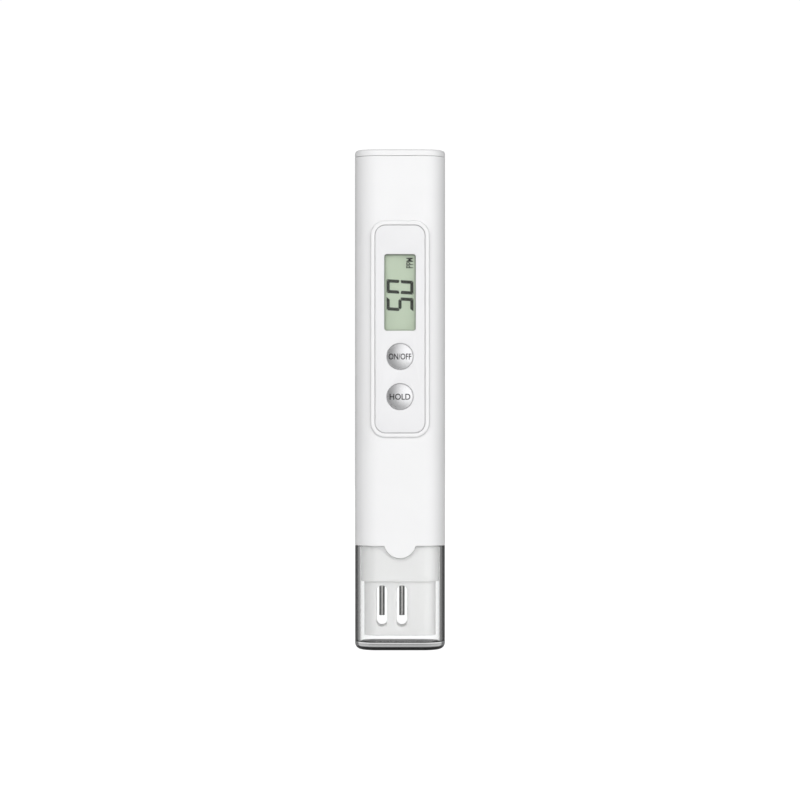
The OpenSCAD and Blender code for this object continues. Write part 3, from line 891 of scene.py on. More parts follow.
class TESTER_OT_casing(bpy.types.Operator):
    """Builds the two casing shells"""

    bl_idname = "tester.casing"
    bl_label = "Casing shells"

    def execute(self, context):
        white = moulded_white("Casing plastic", tuple(colours().shell))
        front = shell_mesh("casing_front", True)
        piece("casing_front", front, white, "housing", ["front_shell"], 40)
        back = shell_mesh("casing_back", False)
        back.transform(Matrix.Rotation(math.pi, 4, "Z"))
        piece("casing_back", back, white, "housing", ["rear_shell"], 40)
        return {"FINISHED"}


# ---- the display ----

def window_outline(grow, steps=10):
    """The display window's outline in x and z, grown to every side"""
    w, h, r = WINDOW_W + 2 * grow, WINDOW_H + 2 * grow, WINDOW_R + grow
    return [(x, z + WINDOW_Z) for x, z in section(w, h, r, corner=steps)]


def disc_outline(r, z, steps=LATHE_STEPS):
    return [(r * math.cos(2 * math.pi * i / steps), z + r * math.sin(2 * math.pi * i / steps))
            for i in range(steps)]


def key_centre(node):
    low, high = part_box(node)
    return (low.z + high.z) / 2


KEY_FLANGE = 0.7 * MM
KEY_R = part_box("on_off_button")[1].x - KEY_FLANGE
LENS_GAP = 0.08 * MM  # room for the figures behind the lens
LENS_EDGE = 0.08 * MM


class TESTER_OT_panel(bpy.types.Operator):
    """Builds the panel and the clear lens behind its window"""

    bl_idname = "tester.panel"
    bl_label = "Panel and lens"

    def execute(self, context):
        s = sizes()
        w, h = panel_high.x - panel_low.x, panel_high.z - panel_low.z
        mid = (panel_high.z + panel_low.z) / 2
        outline = [(x, z + mid) for x, z in section(w, h, PANEL_R)]
        holes = [disc_outline(KEY_R + BUTTON_FIT, key_centre(n)) for n in ("on_off_button", "hold_button")]
        mesh = plate("key_panel", [outline, window_outline(0)] + holes,
                     panel_low.y, panel_high.y, s.panel_edge)
        piece("key_panel", mesh, panel_film(), "housing", ["display_panel"], 20)
        clear = clear_plastic("Coated lens", (1, 1, 1), 0.02, 1.22).let_light_through()
        lens = plate("window_lens", [window_outline(WINDOW_EDGE)], lens_low.y,
                     lens_high.y - LENS_GAP, LENS_EDGE)
        piece("window_lens", lens, clear.material, "housing", ["display_lens"], 20)
        return {"FINISHED"}


SLANT = math.tan(math.radians(3.6))
FIGURE_GAP = 0.01 * MM  # between the display glass and its figures
FIGURE_T = 0.04 * MM
LAST_FIGURE_Z = WINDOW_Z + 1.75 * MM
UNIT_W, UNIT_H = 3.2 * MM, 2.1 * MM
UNIT_X, UNIT_Z = 2.95 * MM, WINDOW_Z + 9.15 * MM
LETTER_WEIGHT = 0.012
SEGMENTS_LIT = {
    "0": "abcdef", "1": "bc", "2": "abdeg", "3": "abcdg", "4": "bcfg", "5": "acdfg",
    "6": "acdefg", "7": "abc", "8": "abcdefg", "9": "abcdfg",
}


def segment_outline(letter):
    """One bar of a figure, in the figure's own right and up"""
    s = sizes()
    w, h, t = s.digit_w / 2, s.digit_h / 2, s.bar_w
    q = 0.17 * MM  # half the gap at a mitre
    lean = 0.3 * t
    top = [(-w + q, h), (w - q, h), (w - t - q + lean, h - t), (-w + t + q - lean, h - t)]
    side = [(w, h - q), (w, 0.28 * MM), (w - 0.45 * t, 0.2 * MM), (w - t, 0.2 * MM + lean),
            (w - t, h - t - q + lean)]
    middle = [(-w + 0.5 * t, 0), (-w + t, t / 2), (w - t, t / 2), (w - 0.5 * t, 0), (w - t, -t / 2),
              (-w + t, -t / 2)]
    flips = {"a": (top, 1, 1), "d": (top, 1, -1), "b": (side, 1, 1), "c": (side, 1, -1),
             "f": (side, -1, 1), "e": (side, -1, -1), "g": (middle, 1, 1)}
    points, fx, fy = flips[letter]
    return [(fx * a, fy * b) for a, b in points]


READ_UPWARDS = Matrix(((0, -1, 0, 0), (0, 0, -1, 0), (1, 0, 0, 0), (0, 0, 0, 1)))


def display_point(right, up):
    """The display reads up the tester: a figure's right is +Z and its top is -X"""
    return (-up, right)


class TESTER_OT_display(bpy.types.Operator):
    """Builds the display's figures and its unit"""

    bl_idname = "tester.display"
    bl_label = "Display"

    def execute(self, context):
        s = sizes()
        ink = segment_ink()
        y1 = lens_high.y - FIGURE_GAP
        y0 = y1 - FIGURE_T
        meshes = []
        for place, figure in enumerate(reversed(s.reading)):
            middle = LAST_FIGURE_Z - place * s.digit_pitch
            for letter in SEGMENTS_LIT[figure]:
                outline = [display_point(middle + a + b * SLANT, b) for a, b in segment_outline(letter)]
                meshes.append(prism("bar", outline, y0, y1))
        figures = joined("display_figures", meshes)
        piece("display_figures", figures, ink, "housing")
        unit = text_mesh("display_unit", "PPM", UNIT_W, UNIT_H, FIGURE_T)
        unit.transform(READ_UPWARDS)
        unit.transform(Matrix.Translation((UNIT_X, y1 - FIGURE_T / 2, UNIT_Z)))
        piece("display_unit", unit, ink, "housing")
        return {"FINISHED"}


def text_mesh(name, words, width, height, thickness):
    """Plain capitals in x and y, centred and scaled to a width and a height"""
    curve = bpy.data.curves.new(name, "FONT")
    curve.body = words
    curve.align_x = "CENTER"
    curve.align_y = "CENTER"
    curve.offset = LETTER_WEIGHT
    curve.resolution_u = 6
    mesh = curve_mesh(name, curve, Matrix.Identity(4))
    corners = [v.co for v in mesh.vertices]
    low = Vector([min(c[i] for c in corners) for i in range(3)])
    high = Vector([max(c[i] for c in corners) for i in range(3)])
    middle = (low + high) / 2
    scale = Matrix.Diagonal((width / (high.x - low.x), height / (high.y - low.y), 1, 1))
    mesh.transform(scale @ Matrix.Translation(-middle))
    bm = bmesh.new()
    bm.from_mesh(mesh)
    bmesh.ops.triangulate(bm, faces=bm.faces)
    for _ in range(3):  # short edges let the letters follow a dome
        long_edges = [e for e in bm.edges if e.calc_length() > 0.3 * MM]
        bmesh.ops.subdivide_edges(bm, edges=long_edges, cuts=1, use_grid_fill=False)
        bmesh.ops.triangulate(bm, faces=bm.faces)
    front = bm.faces[:]
    raised = bmesh.ops.extrude_face_region(bm, geom=front)
    for v in [v for v in raised["geom"] if isinstance(v, bmesh.types.BMVert)]:
        v.co.z += thickness
    bmesh.ops.recalc_face_normals(bm, faces=bm.faces)
    bm.to_mesh(mesh)
    bm.free()
    return mesh


# ---- the keys ----

DOME_H = 0.75 * MM
KEY_EDGE = 0.25 * MM
FLANGE_T = 0.6 * MM
STEM_R = 1.5 * MM
KEY_GAP = 0.05 * MM  # between the flange and the panel's back
KEY_CHAMFER = 0.1 * MM
INK_T = 0.03 * MM
INK_GAP = 0.005 * MM  # between the dome and the lettering's back


def dome_y(x, z, tip, edge):
    """The depth of a key's dome at a distance from its middle"""
    h = edge - tip
    ball = (KEY_R ** 2 + h ** 2) / (2 * h)
    return tip + ball - math.sqrt(ball ** 2 - x ** 2 - z ** 2)


class TESTER_OT_keys(bpy.types.Operator):
    """Builds the two domed keys and their lettering"""

    bl_idname = "tester.keys"
    bl_label = "Keys"

    def execute(self, context):
        s = sizes()
        silver = silver_key()
        ink = lettering_ink()
        for key, words, width in (("on_off", "ON/OFF", 7.0 * MM), ("hold", "HOLD", 6.4 * MM)):
            low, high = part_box(key + "_button")
            z = key_centre(key + "_button")
            tip, edge_y = low.y, low.y + DOME_H
            flange_y, c = panel_high.y + KEY_GAP, KEY_CHAMFER
            top = [(r, dome_y(r, 0, tip, edge_y)) for r in spread(0, KEY_R - KEY_EDGE, 16)]
            lip = [(KEY_R - KEY_EDGE + KEY_EDGE * sin_a, top[-1][1] + 0.88 * KEY_EDGE * (1 - cos_a))
                   for sin_a, cos_a in quarter(5)[1:]]
            under = [(KEY_R, flange_y), (high.x - c, flange_y), (high.x, flange_y + c),
                     (high.x, flange_y + FLANGE_T), (STEM_R, flange_y + FLANGE_T),
                     (STEM_R, high.y - c), (STEM_R - c, high.y), (0, high.y)]
            mesh = lathe(key + "_key_top", top + lip + under, (0, z), "Y")
            body = key + "_key"
            piece(key + "_key_top", mesh, silver, body, [key + "_button"], 40)
            label = text_mesh(key + "_lettering", words, width, s.letter_h, INK_T)
            for v in label.vertices:
                x, up, out = v.co
                v.co = (x, dome_y(x, up, tip, edge_y) - INK_GAP - out, up + z)
            tidy_mesh(label)
            piece(key + "_lettering", label, ink, body)
        return {"FINISHED"}


# ---- the battery drawer ----

def seal_mesh(name, low, high):
    """A square-cut ring with rounded edges that fills a plug's groove"""
    w, d = high.x - low.x, high.y - low.y
    r = CORNER_R - (BODY_W - w) / 2
    t, e = 0.85 * MM, 0.25 * MM
    rings = []
    for inset, z in ((e, low.z), (0, low.z + e), (0, high.z - e), (e, high.z), (t, high.z), (t, low.z)):
        rings.append(level(section(w - 2 * inset, d - 2 * inset, r - inset), z))
    return loft(name, rings, ring_shaped=True)


def cell_mesh(name, x, z, flipped):
    """A button cell along Y: the can, its crimped gasket and the smaller cap"""
    r = (cells_high.z - cells_low.z) / 2
    y0, y1 = cells_low.y, cells_high.y
    cap_r, cap_h, e = r - 1 * MM, 0.4 * MM, 0.3 * MM
    profile = [(0, 0), (cap_r - e, 0), (cap_r, 0.12 * MM), (cap_r, cap_h),
               (cap_r + 0.15 * MM, cap_h), (cap_r + 0.2 * MM, cap_h + 0.15 * MM),
               (cap_r + 0.35 * MM, cap_h + 0.05 * MM), (r - e, cap_h + 0.03 * MM),
               (r - 0.08 * MM, cap_h + 0.12 * MM), (r, cap_h + e),
               (r, y1 - y0 - e), (r - 0.09 * MM, y1 - y0 - 0.09 * MM), (r - e, y1 - y0),
               (r - 1.2 * MM, y1 - y0), (r - 1.3 * MM, y1 - y0 - 0.06 * MM),
               (r - 1.5 * MM, y1 - y0 - 0.06 * MM), (r - 1.6 * MM, y1 - y0), (0, y1 - y0)]
    if flipped:
        profile = [(a, y1 - b) for a, b in profile]
    else:
        profile = [(a, y0 + b) for a, b in profile]
    return lathe(name, profile, (x, z), "Y", 72)


COVER_FILLET = 0.9 * MM
SEAL_PROUD = 0.12 * MM  # how far a seal stands out of its groove
COVER_PLUG = BODY_W / 2 - (cover_seal_high.x - SEAL_PROUD)
SEAL_DEPTH = 0.75 * MM


def cover_mesh():
    """The drawer's cover: a filleted plate with a grooved plug below and a nail slot at the back"""
    e = 0.12 * MM
    under, top = cover_high.z - COVER_H, cover_high.z
    z0, plug, deep = cover_low.z, COVER_PLUG, COVER_PLUG + SEAL_DEPTH
    profile = [(plug + 2 * e, z0), (plug, z0 + 2 * e), (plug, cover_seal_low.z),
               (deep, cover_seal_low.z), (deep, cover_seal_high.z), (plug, cover_seal_high.z),
               (plug, under), (2 * e, under)]
    profile += [(e * (1 - sin_a), under + e * (1 - cos_a)) for sin_a, cos_a in quarter(3)]
    profile += [(0, under + 2 * e)]
    profile += [(COVER_FILLET * (1 - cos_a), top - COVER_FILLET * (1 - sin_a))
                for sin_a, cos_a in quarter(9)]
    slot_w, slot_h, slot_deep, slot_edge = 8 * MM, 1.9 * MM, 0.8 * MM, 0.05 * MM
    outline = [(x, z + under - slot_edge) for x, z in section(slot_w, slot_h, 0.3 * MM, corner=5)]
    nail_slot = plate("nail_slot", [outline], BODY_D / 2 - slot_deep, BODY_D / 2 + 1 * MM, slot_edge)
    return without(stack("drawer_cover", profile), [nail_slot])


class TESTER_OT_battery(bpy.types.Operator):
    """Builds the battery drawer: cover, seal, tray and cells"""

    bl_idname = "tester.battery"
    bl_label = "Battery drawer"

    def execute(self, context):
        white = bpy.data.materials["Casing plastic"]
        piece("drawer_cover", cover_mesh(), white, "battery_drawer", ["battery_cover"])
        seal = seal_mesh("drawer_seal", cover_seal_low, cover_seal_high)
        piece("drawer_seal", seal, black_rubber(), "battery_drawer", ["cover_seal"])
        tray_white = moulded_white("Tray plastic", (0.74, 0.74, 0.73), 0.45, 0.02)
        tray = softened("battery_tray", "cell_tray", 0.12 * MM)
        piece("cell_tray", tray, tray_white, "battery_drawer", ["battery_tray"])
        can = steel("Cell can", (0.72, 0.71, 0.69), 0.26, (1, 0.2, 1))
        r = (cells_high.z - cells_low.z) / 2
        z = (cells_high.z + cells_low.z) / 2
        left = cell_mesh("cell", cells_low.x + r, z, False)
        right = cell_mesh("cell", cells_high.x - r, z, True)
        piece("power_cells", joined("power_cells", [left, right]), can, "battery_drawer",
              ["button_cells"])
        return {"FINISHED"}


# ---- the probe ----

COLLAR = 1.85 * MM  # insets from the casing's side
SKIRT = 2.9 * MM
BORE = 4.1 * MM
PLUG = BODY_W / 2 - head_high.x
PLUG_WALL = 1.6 * MM
COLLAR_Z = CASING_Z0 - 11.1 * MM
PLUG_Z = CASING_Z0 + LIP_H + SEAM
SLOT_R = 1.6 * MM
SLOT_Z0, SLOT_Z1 = head_low.z + 2.8 * MM, COLLAR_Z - 1.25 * MM
PIN_R = (pins_high.y - pins_low.y) / 2
PIN_XS = (pins_low.x + PIN_R, pins_high.x - PIN_R)
SLEEVE_R = (sensor_high.x - sensor_low.x) / 2
SLEEVE_X = (sensor_low.x + sensor_high.x) / 2


def slot_cutter(x):
    """A water slot right through the skirt, with its mouths eased"""
    face, ease = BODY_D / 2 - SKIRT, 0.16 * MM

    def ring(grow, y):
        r = SLOT_R + grow
        ends = ((SLOT_Z1 - SLOT_R, 0), (SLOT_Z0 + SLOT_R, 180))
        return [(x + r * math.cos(math.radians(a)), y, z + r * math.sin(math.radians(a)))
                for z, start in ends for a in spread(start, start + 180, 20)]

    ys = [(ease + 1 * MM, -face - 1 * MM), (ease, -face), (0.3 * ease, -face + 0.3 * ease),
          (0, -face + ease)]
    rings = [ring(grow, y) for grow, y in ys] + [ring(grow, -y) for grow, y in reversed(ys)]
    return loft("water_slot", rings)


def head_mesh():
    """The probe head: plug, collar and slotted skirt round a bore, with two catches for the cap"""
    e = 0.15 * MM
    z0, z1 = head_low.z, head_high.z
    profile = [(BORE, COLLAR_Z - 1 * MM), (BORE, z0 + e), (BORE - 0.3 * e, z0 + 0.3 * e), (BORE - e, z0),
               (SKIRT + e, z0), (SKIRT + 0.3 * e, z0 + 0.3 * e), (SKIRT, z0 + e), (SKIRT, z0 + 2 * e),
               (SKIRT, COLLAR_Z), (COLLAR + 2 * e, COLLAR_Z), (COLLAR + e, COLLAR_Z),
               (COLLAR + 0.3 * e, COLLAR_Z + 0.3 * e), (COLLAR, COLLAR_Z + e), (COLLAR, COLLAR_Z + 2 * e),
               (COLLAR, PLUG_Z), (PLUG, PLUG_Z), (PLUG, head_seal_low.z),
               (PLUG + SEAL_DEPTH, head_seal_low.z), (PLUG + SEAL_DEPTH, head_seal_high.z),
               (PLUG, head_seal_high.z), (PLUG, z1 - e), (PLUG + e, z1), (PLUG + PLUG_WALL - e, z1),
               (PLUG + PLUG_WALL, z1 - e), (PLUG + PLUG_WALL, PLUG_Z), (BORE, PLUG_Z),
               (BORE, potting_low.z)]
    fit = 0.02 * MM
    bore_z = (COLLAR_Z - 2 * MM, potting_low.z + 1 * MM)
    sticks = [(x, PIN_R + fit) for x in PIN_XS] + [(SLEEVE_X, SLEEVE_R + fit)]
    holes = [lathe("hole", [(0, bore_z[0]), (r, bore_z[0]), (r, bore_z[1]), (0, bore_z[1])],
                   (x, 0), "Z", 48) for x, r in sticks]
    body = without(stack("probe_tip", profile, 18), [slot_cutter(x) for x in PIN_XS] + holes)
    catch_r, catch_z = 0.6 * MM, CASING_Z0 - 3.2 * MM
    catch_x = BODY_W / 2 - COLLAR + 0.2 * MM - catch_r
    straight = 0.35 * MM  # half the catch's straight middle
    profile = [(catch_r * math.sin(a), straight * side - catch_r * math.cos(a))
               for side, start in ((-1, 0), (1, math.pi / 2))
               for a in spread(start, start + math.pi / 2, 6)]
    catches = [lathe("catch", profile, (x, catch_z), "Y", 24) for x in (-catch_x, catch_x)]
    return joined("probe_tip", [body] + catches)


class TESTER_OT_probe(bpy.types.Operator):
    """Builds the probe head, its seal, the electrodes and the temperature sleeve"""

    bl_idname = "tester.probe"
    bl_label = "Probe"

    def execute(self, context):
        plastic = moulded_white("Probe plastic", tuple(colours().probe), 0.2, 0.01)
        piece("probe_tip", head_mesh(), plastic, "housing", ["probe_head"])
        seal = seal_mesh("head_seal", head_seal_low, head_seal_high)
        piece("head_seal", seal, black_rubber(), "housing", ["probe_seal"])
        r, e = PIN_R, 0.12 * MM
        profile = [(0, pins_low.z), (r - e, pins_low.z), (r - 0.3 * e, pins_low.z + 0.3 * e),
                   (r, pins_low.z + e), (r, pins_high.z - e), (r - e, pins_high.z), (0, pins_high.z)]
        pins = [lathe("pin", profile, (x, 0), "Z", 48) for x in PIN_XS]
        metal = pin_steel()
        piece("electrodes", joined("electrodes", pins), metal, "housing", ["electrode_pins"])
        r = SLEEVE_R
        ball = [(r * sin_a, sensor_low.z + r * (1 - cos_a)) for sin_a, cos_a in quarter(10)]
        profile = ball + [(r, sensor_high.z - e), (r - e, sensor_high.z), (0, sensor_high.z)]
        sleeve = lathe("sensor_sleeve", profile, (SLEEVE_X, 0), "Z", 48)
        ivory = dull_resin("Sleeve plastic", (0.80, 0.78, 0.72), 0.4)
        piece("sensor_sleeve", sleeve, ivory, "housing", ["temperature_sensor"])
        return {"FINISHED"}


# ---- the cap ----

CAP_WALL = 1.6 * MM
CAP_FLOOR = 2.4 * MM
CAP_FILLET = 2 * MM
NOTCH_R = TONGUE_R + SEAM
NOTCH_STEPS = (6, 28)  # straight and round stretches along the rim
CAP_CORNER_STEPS = 20


def cap_outline(inset, rim):
    return section(BODY_W - 2 * inset, BODY_D - 2 * inset, CORNER_R - inset,
                   [x for x, _ in rim], CAP_CORNER_STEPS)


def cap_ring(inset, drop):
    """The cap's outline at an inset, following its notched rim at a drop below it"""
    level_z = cap_high.z - drop
    rim = notched_flat(FLAT_X, level_z, TONGUE_Z, NOTCH_R + drop, *NOTCH_STEPS)
    dips = {round(x, 9): z for x, z in rim}
    flat = BODY_D / 2 - inset - 1e-9
    return [(x, y, dips.get(round(x, 9), level_z) if abs(y) > flat else level_z)
            for x, y in cap_outline(inset, rim)]


def cap_section(inset, z):
    """The cap's outline at one height, point for point like its rim"""
    rim = notched_flat(FLAT_X, cap_high.z, TONGUE_Z, NOTCH_R, *NOTCH_STEPS)
    return level(cap_outline(inset, rim), z)


class TESTER_OT_cap(bpy.types.Operator):
    """Builds the clear cap with its notched rim"""

    bl_idname = "tester.cap"
    bl_label = "Clear cap"

    def execute(self, context):
        s = sizes()
        below = TONGUE_Z - NOTCH_R - 1.5 * MM  # plain wall under the notches
        rings = [cap_section(CAP_FILLET * (1 - sin_a), CAP_FILLET * (1 - cos_a))
                 for sin_a, cos_a in quarter(10)]
        rings.append(cap_section(0, below))
        e = s.cap_rim_round
        rings.append(cap_ring(0, 1.2 * e))
        rings += [cap_ring(e * (1 - cos_a), e * (1 - sin_a)) for sin_a, cos_a in quarter(5)]
        rings += [cap_ring(CAP_WALL - e * (1 - sin_a), e * (1 - cos_a)) for sin_a, cos_a in quarter(5)]
        rings.append(cap_ring(CAP_WALL, 1.2 * e))
        rings.append(cap_section(CAP_WALL, below))
        f = s.cap_floor_round
        rings += [cap_section(CAP_WALL + f * (1 - cos_a), CAP_FLOOR + f * (1 - sin_a))
                  for sin_a, cos_a in quarter(8)]
        mesh = loft("clear_cap", rings)
        clear = cap_plastic().let_light_through()
        piece("clear_cap", mesh, clear.material, "protective_cap", ["protective_cap"], 50)
        return {"FINISHED"}


# ---- inside parts that keep their CAD shape ----

def carried_finishes():
    """The finish of every CAD node that stays"""
    gilt = steel("Gilt spring", (0.83, 0.62, 0.30), 0.28, (1, 1, 0.2))
    wire = dull_resin("Wire cover", (0.45, 0.02, 0.018), 0.38)
    case = dull_resin("Switch case", (0.045, 0.045, 0.05), 0.45)
    plunger = dull_resin("Plunger plastic", (0.10, 0.10, 0.11), 0.4)
    return {
        "lcd_cell": display_glass(),
        "lcd_frame": moulded_white("Frame plastic", (0.78, 0.78, 0.77), 0.5),
        "lcd_reflector": steel("Reflector foil", (0.80, 0.80, 0.82), 0.3, (1, 1, 1)),
        "zebra_strips": striped_rubber(),
        "circuit_board": board_green(),
        "controller_chip": dull_resin("Chip resin", (0.012, 0.012, 0.013), 0.3),
        "quartz_crystal": steel("Crystal can", (0.70, 0.70, 0.72), 0.22, (1, 1, 0.1)),
        "on_off_switch": case,
        "hold_switch": case,
        "on_off_plunger": plunger,
        "hold_plunger": plunger,
        "cell_link": gilt,
        "battery_contacts": gilt,
        "battery_leads": wire,
        "sensor_leads": wire,
        "potting_block": dull_resin("Potting resin", (0.014, 0.014, 0.016), 0.25),
    }


class TESTER_OT_inside(bpy.types.Operator):
    """Gives the carried-over inner parts their finishes"""

    bl_idname = "tester.inside"
    bl_label = "Inner finishes"

    def execute(self, context):
        for node, material in carried_finishes().items():
            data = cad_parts[node].data
            if not data.materials:
                data.materials.append(material)
            for i in range(len(data.materials)):
                data.materials[i] = material
        return {"FINISHED"}


# ---- small parts in rows ----

def repeat_tree():
    """Copies of a part in columns and rows, realised and given one material"""
    tree = bpy.data.node_groups.new("Rows of a part", "GeometryNodeTree")
    wanted = (("Part", "NodeSocketObject"), ("Columns", "NodeSocketInt"), ("Rows", "NodeSocketInt"),
              ("Start", "NodeSocketVector"), ("Column Step", "NodeSocketVector"),
              ("Row Step", "NodeSocketVector"), ("Material", "NodeSocketMaterial"))
    tree.interface.new_socket("Geometry", in_out="OUTPUT", socket_type="NodeSocketGeometry")
    for name, kind in wanted:
        tree.interface.new_socket(name, in_out="INPUT", socket_type=kind)
    add, link = tree.nodes.new, tree.links.new
    given = add("NodeGroupInput").outputs
    columns = add("GeometryNodeMeshLine")
    link(given["Columns"], columns.inputs["Count"])
    link(given["Start"], columns.inputs["Start Location"])
    link(given["Column Step"], columns.inputs["Offset"])
    rows = add("GeometryNodeMeshLine")
    link(given["Rows"], rows.inputs["Count"])
    link(given["Row Step"], rows.inputs["Offset"])
    places = add("GeometryNodeInstanceOnPoints")
    link(columns.outputs["Mesh"], places.inputs["Points"])
    link(rows.outputs["Mesh"], places.inputs["Instance"])
    flat = add("GeometryNodeRealizeInstances")
    link(places.outputs["Instances"], flat.inputs["Geometry"])
    part = add("GeometryNodeObjectInfo")
    link(given["Part"], part.inputs["Object"])
    copies = add("GeometryNodeInstanceOnPoints")
    link(flat.outputs["Geometry"], copies.inputs["Points"])
    link(part.outputs["Geometry"], copies.inputs["Instance"])
    real = add("GeometryNodeRealizeInstances")
    link(copies.outputs["Instances"], real.inputs["Geometry"])
    coat = add("GeometryNodeSetMaterial")
    link(real.outputs["Geometry"], coat.inputs["Geometry"])
    link(given["Material"], coat.inputs["Material"])
    link(coat.outputs["Geometry"], add("NodeGroupOutput").inputs["Geometry"])
    return tree


def in_rows(name, part_mesh, material, start, columns, column_step, rows, row_step):
    """A plain mesh of a part repeated in columns and rows by the node tree"""
    tree = bpy.data.node_groups.get("Rows of a part") or repeat_tree()
    part = in_scene(name + "_part", part_mesh)
    host = in_scene(name + "_rows", bpy.data.meshes.new(name + "_host"))
    modifier = host.modifiers.new("Rows", "NODES")
    modifier.node_group = tree
    values = {"Part": part, "Columns": columns, "Rows": rows, "Start": start,
              "Column Step": column_step, "Row Step": row_step, "Material": material}
    for item in tree.interface.items_tree:
        if item.in_out == "INPUT":
            modifier[item.identifier] = values[item.name]
    mesh = finished_mesh(host, part)
    tidy_mesh(mesh)
    return mesh


def chip_mesh(w, h, t):
    """A chip part lying on the board's back: its body and two ends, all in one finish, centred on x and z
    """
    y0 = board_high.y
    end = 0.22 * max(w, h)
    along_x = w > h
    parts = []
    edge = 0.04 * MM
    for side in (-0.5, 0, 0.5):
        cx = side * (w - end) if along_x else 0
        cz = 0 if along_x else side * (h - end)
        bw = (end if side else w - 2 * end) if along_x else w
        bh = h if along_x else (end if side else h - 2 * end)
        sunk = 0 if side else edge
        outline = [(x + cx, z + cz) for x, z in
                   ((-bw / 2, -bh / 2), (bw / 2, -bh / 2), (bw / 2, bh / 2), (-bw / 2, bh / 2))]
        parts.append(plate("chip", [outline], y0, y0 + t - sunk, edge))
    return joined("chip", parts)


SCREW_HEAD_R = 1.4 * MM


def screw_mesh():
    """A small cross-headed screw driven in from the board's back"""
    y0, y1 = board_high.y, screws_high.y
    head_r, r, tip, pitch, turns = SCREW_HEAD_R, 0.72 * MM, screws_low.y, 0.36 * MM, 7
    root = 0.8 * r
    profile = [(0, tip), (0.3 * r, tip), (root, tip + 0.3 * MM)]
    for i in range(turns):
        base = tip + 0.4 * MM + i * pitch
        profile += [(root, base), (r, base + pitch / 3), (root, base + 2 * pitch / 3)]
    profile += [(root, y0), (head_r - 0.1 * MM, y0), (head_r, y0 + 0.1 * MM),
                (head_r, y1 - 0.35 * MM), (head_r - 0.15 * MM, y1 - 0.12 * MM),
                (head_r - 0.5 * MM, y1), (0, y1)]
    bars = [plate("cross", [[(-a, -b), (a, -b), (a, b), (-a, b)]], y1 - 0.45 * MM, y1 + 0.2 * MM,
                  0.02 * MM) for a, b in ((0.85 * MM, 0.2 * MM), (0.2 * MM, 0.85 * MM))]
    return without(lathe("screw", profile, (0, 0), "Y", 32), bars)


class TESTER_OT_board_parts(bpy.types.Operator):
    """Builds the screws and the chip parts on the board's back"""

    bl_idname = "tester.board_parts"
    bl_label = "Board parts"

    def execute(self, context):
        x0, z0 = screws_low.x + SCREW_HEAD_R, screws_low.z + SCREW_HEAD_R
        dx, dz = screws_high.x - SCREW_HEAD_R - x0, screws_high.z - SCREW_HEAD_R - z0
        metal = steel("Screw steel", (0.60, 0.60, 0.62), 0.3, (1, 1, 1))
        mesh = in_rows("screws", screw_mesh(), metal, (x0, 0, z0), 2, (dx, 0, 0), 2, (0, 0, dz))
        piece("cross_screws", mesh, metal, "housing", ["board_screws"])
        chips = (
            ("resistor_rows", "chip_resistors", "chip_black", "Resistor body", (0.02, 0.02, 0.022), 0.35,
             0.8 * MM, 1.6 * MM, 4, 2),
            ("capacitor_row", "chip_capacitors", "chip_tan", "Capacitor body", (0.40, 0.27, 0.14), 0.42,
             2 * MM, 1.25 * MM, 1, 4),
        )
        for name, node, slot, finish, colour, roughness, w, h, columns, rows in chips:
            low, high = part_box(node)
            dx = (high.x - low.x - w) / (columns - 1) if columns > 1 else 0
            dz = (high.z - low.z - h) / (rows - 1)
            resin = dull_resin(finish, colour, roughness)
            mesh = in_rows(name, chip_mesh(w, h, high.y - board_high.y), resin,
                           (low.x + w / 2, 0, low.z + h / 2), columns, (dx, 0, 0), rows, (0, 0, dz))
            piece(name, mesh, resin, "housing", [node])
        return {"FINISHED"}


# ---- studio ----

def flat_sheet(name, corners, material):
    mesh = bpy.data.meshes.new(name)
    mesh.from_pydata(corners, [], [(0, 1, 2, 3)])
    mesh.materials.append(material)
    in_scene(name, mesh)


def area_light(name, place, target, width, height, power):
    data = bpy.data.lights.new(name, "AREA")
    data.shape = "RECTANGLE"
    data.size, data.size_y = width, height
    data.energy = power
    lamp = in_scene(name, data)
    lamp.location = place
    lamp.rotation_euler = (Vector(target) - Vector(place)).to_track_quat("-Z", "Y").to_euler()
    lamp.visible_camera = False
    lamp.visible_glossy = False
    lamp.visible_transmission = False


# Brightness by direction: (how far the direction points along the axis, from 0 to 1; brightness).
# SOFT_LIGHT lights matt surfaces, and GLOSS is what shiny ones reflect.
SOFT_LIGHT = ((0, 1.3), (0.13, 1.3), (0.2, 0.18), (0.74, 0.18), (0.84, 2.0), (1, 2.0))
SOFT_AXIS = (0, -1, 0)
GLOSS = ((0, 0.2), (0.6, 0.06), (0.76, 0.25), (0.86, 0.65), (0.93, 1.15), (1, 1.5))
GLOSS_AXIS = (0.48, -0.82, 0.30)
# What a matt surface under the clear cap gets through it, in place of SOFT_LIGHT
SOFT_SHARE = ((0, 1.4), (0.13, 1.4), (0.2, 0.22), (0.74, 0.22), (0.84, 2.4), (1, 2.4))
WHITE = 1.02  # what the eye sees
FLOOR_WHITE = 0.93
FLOOR_MATT = 0.3  # what the floor sends to matt surfaces
FLOOR_OWN = 0.15  # what the floor's matt grey gives back


BRIGHTEST = 4  # the upper end of a brightness curve


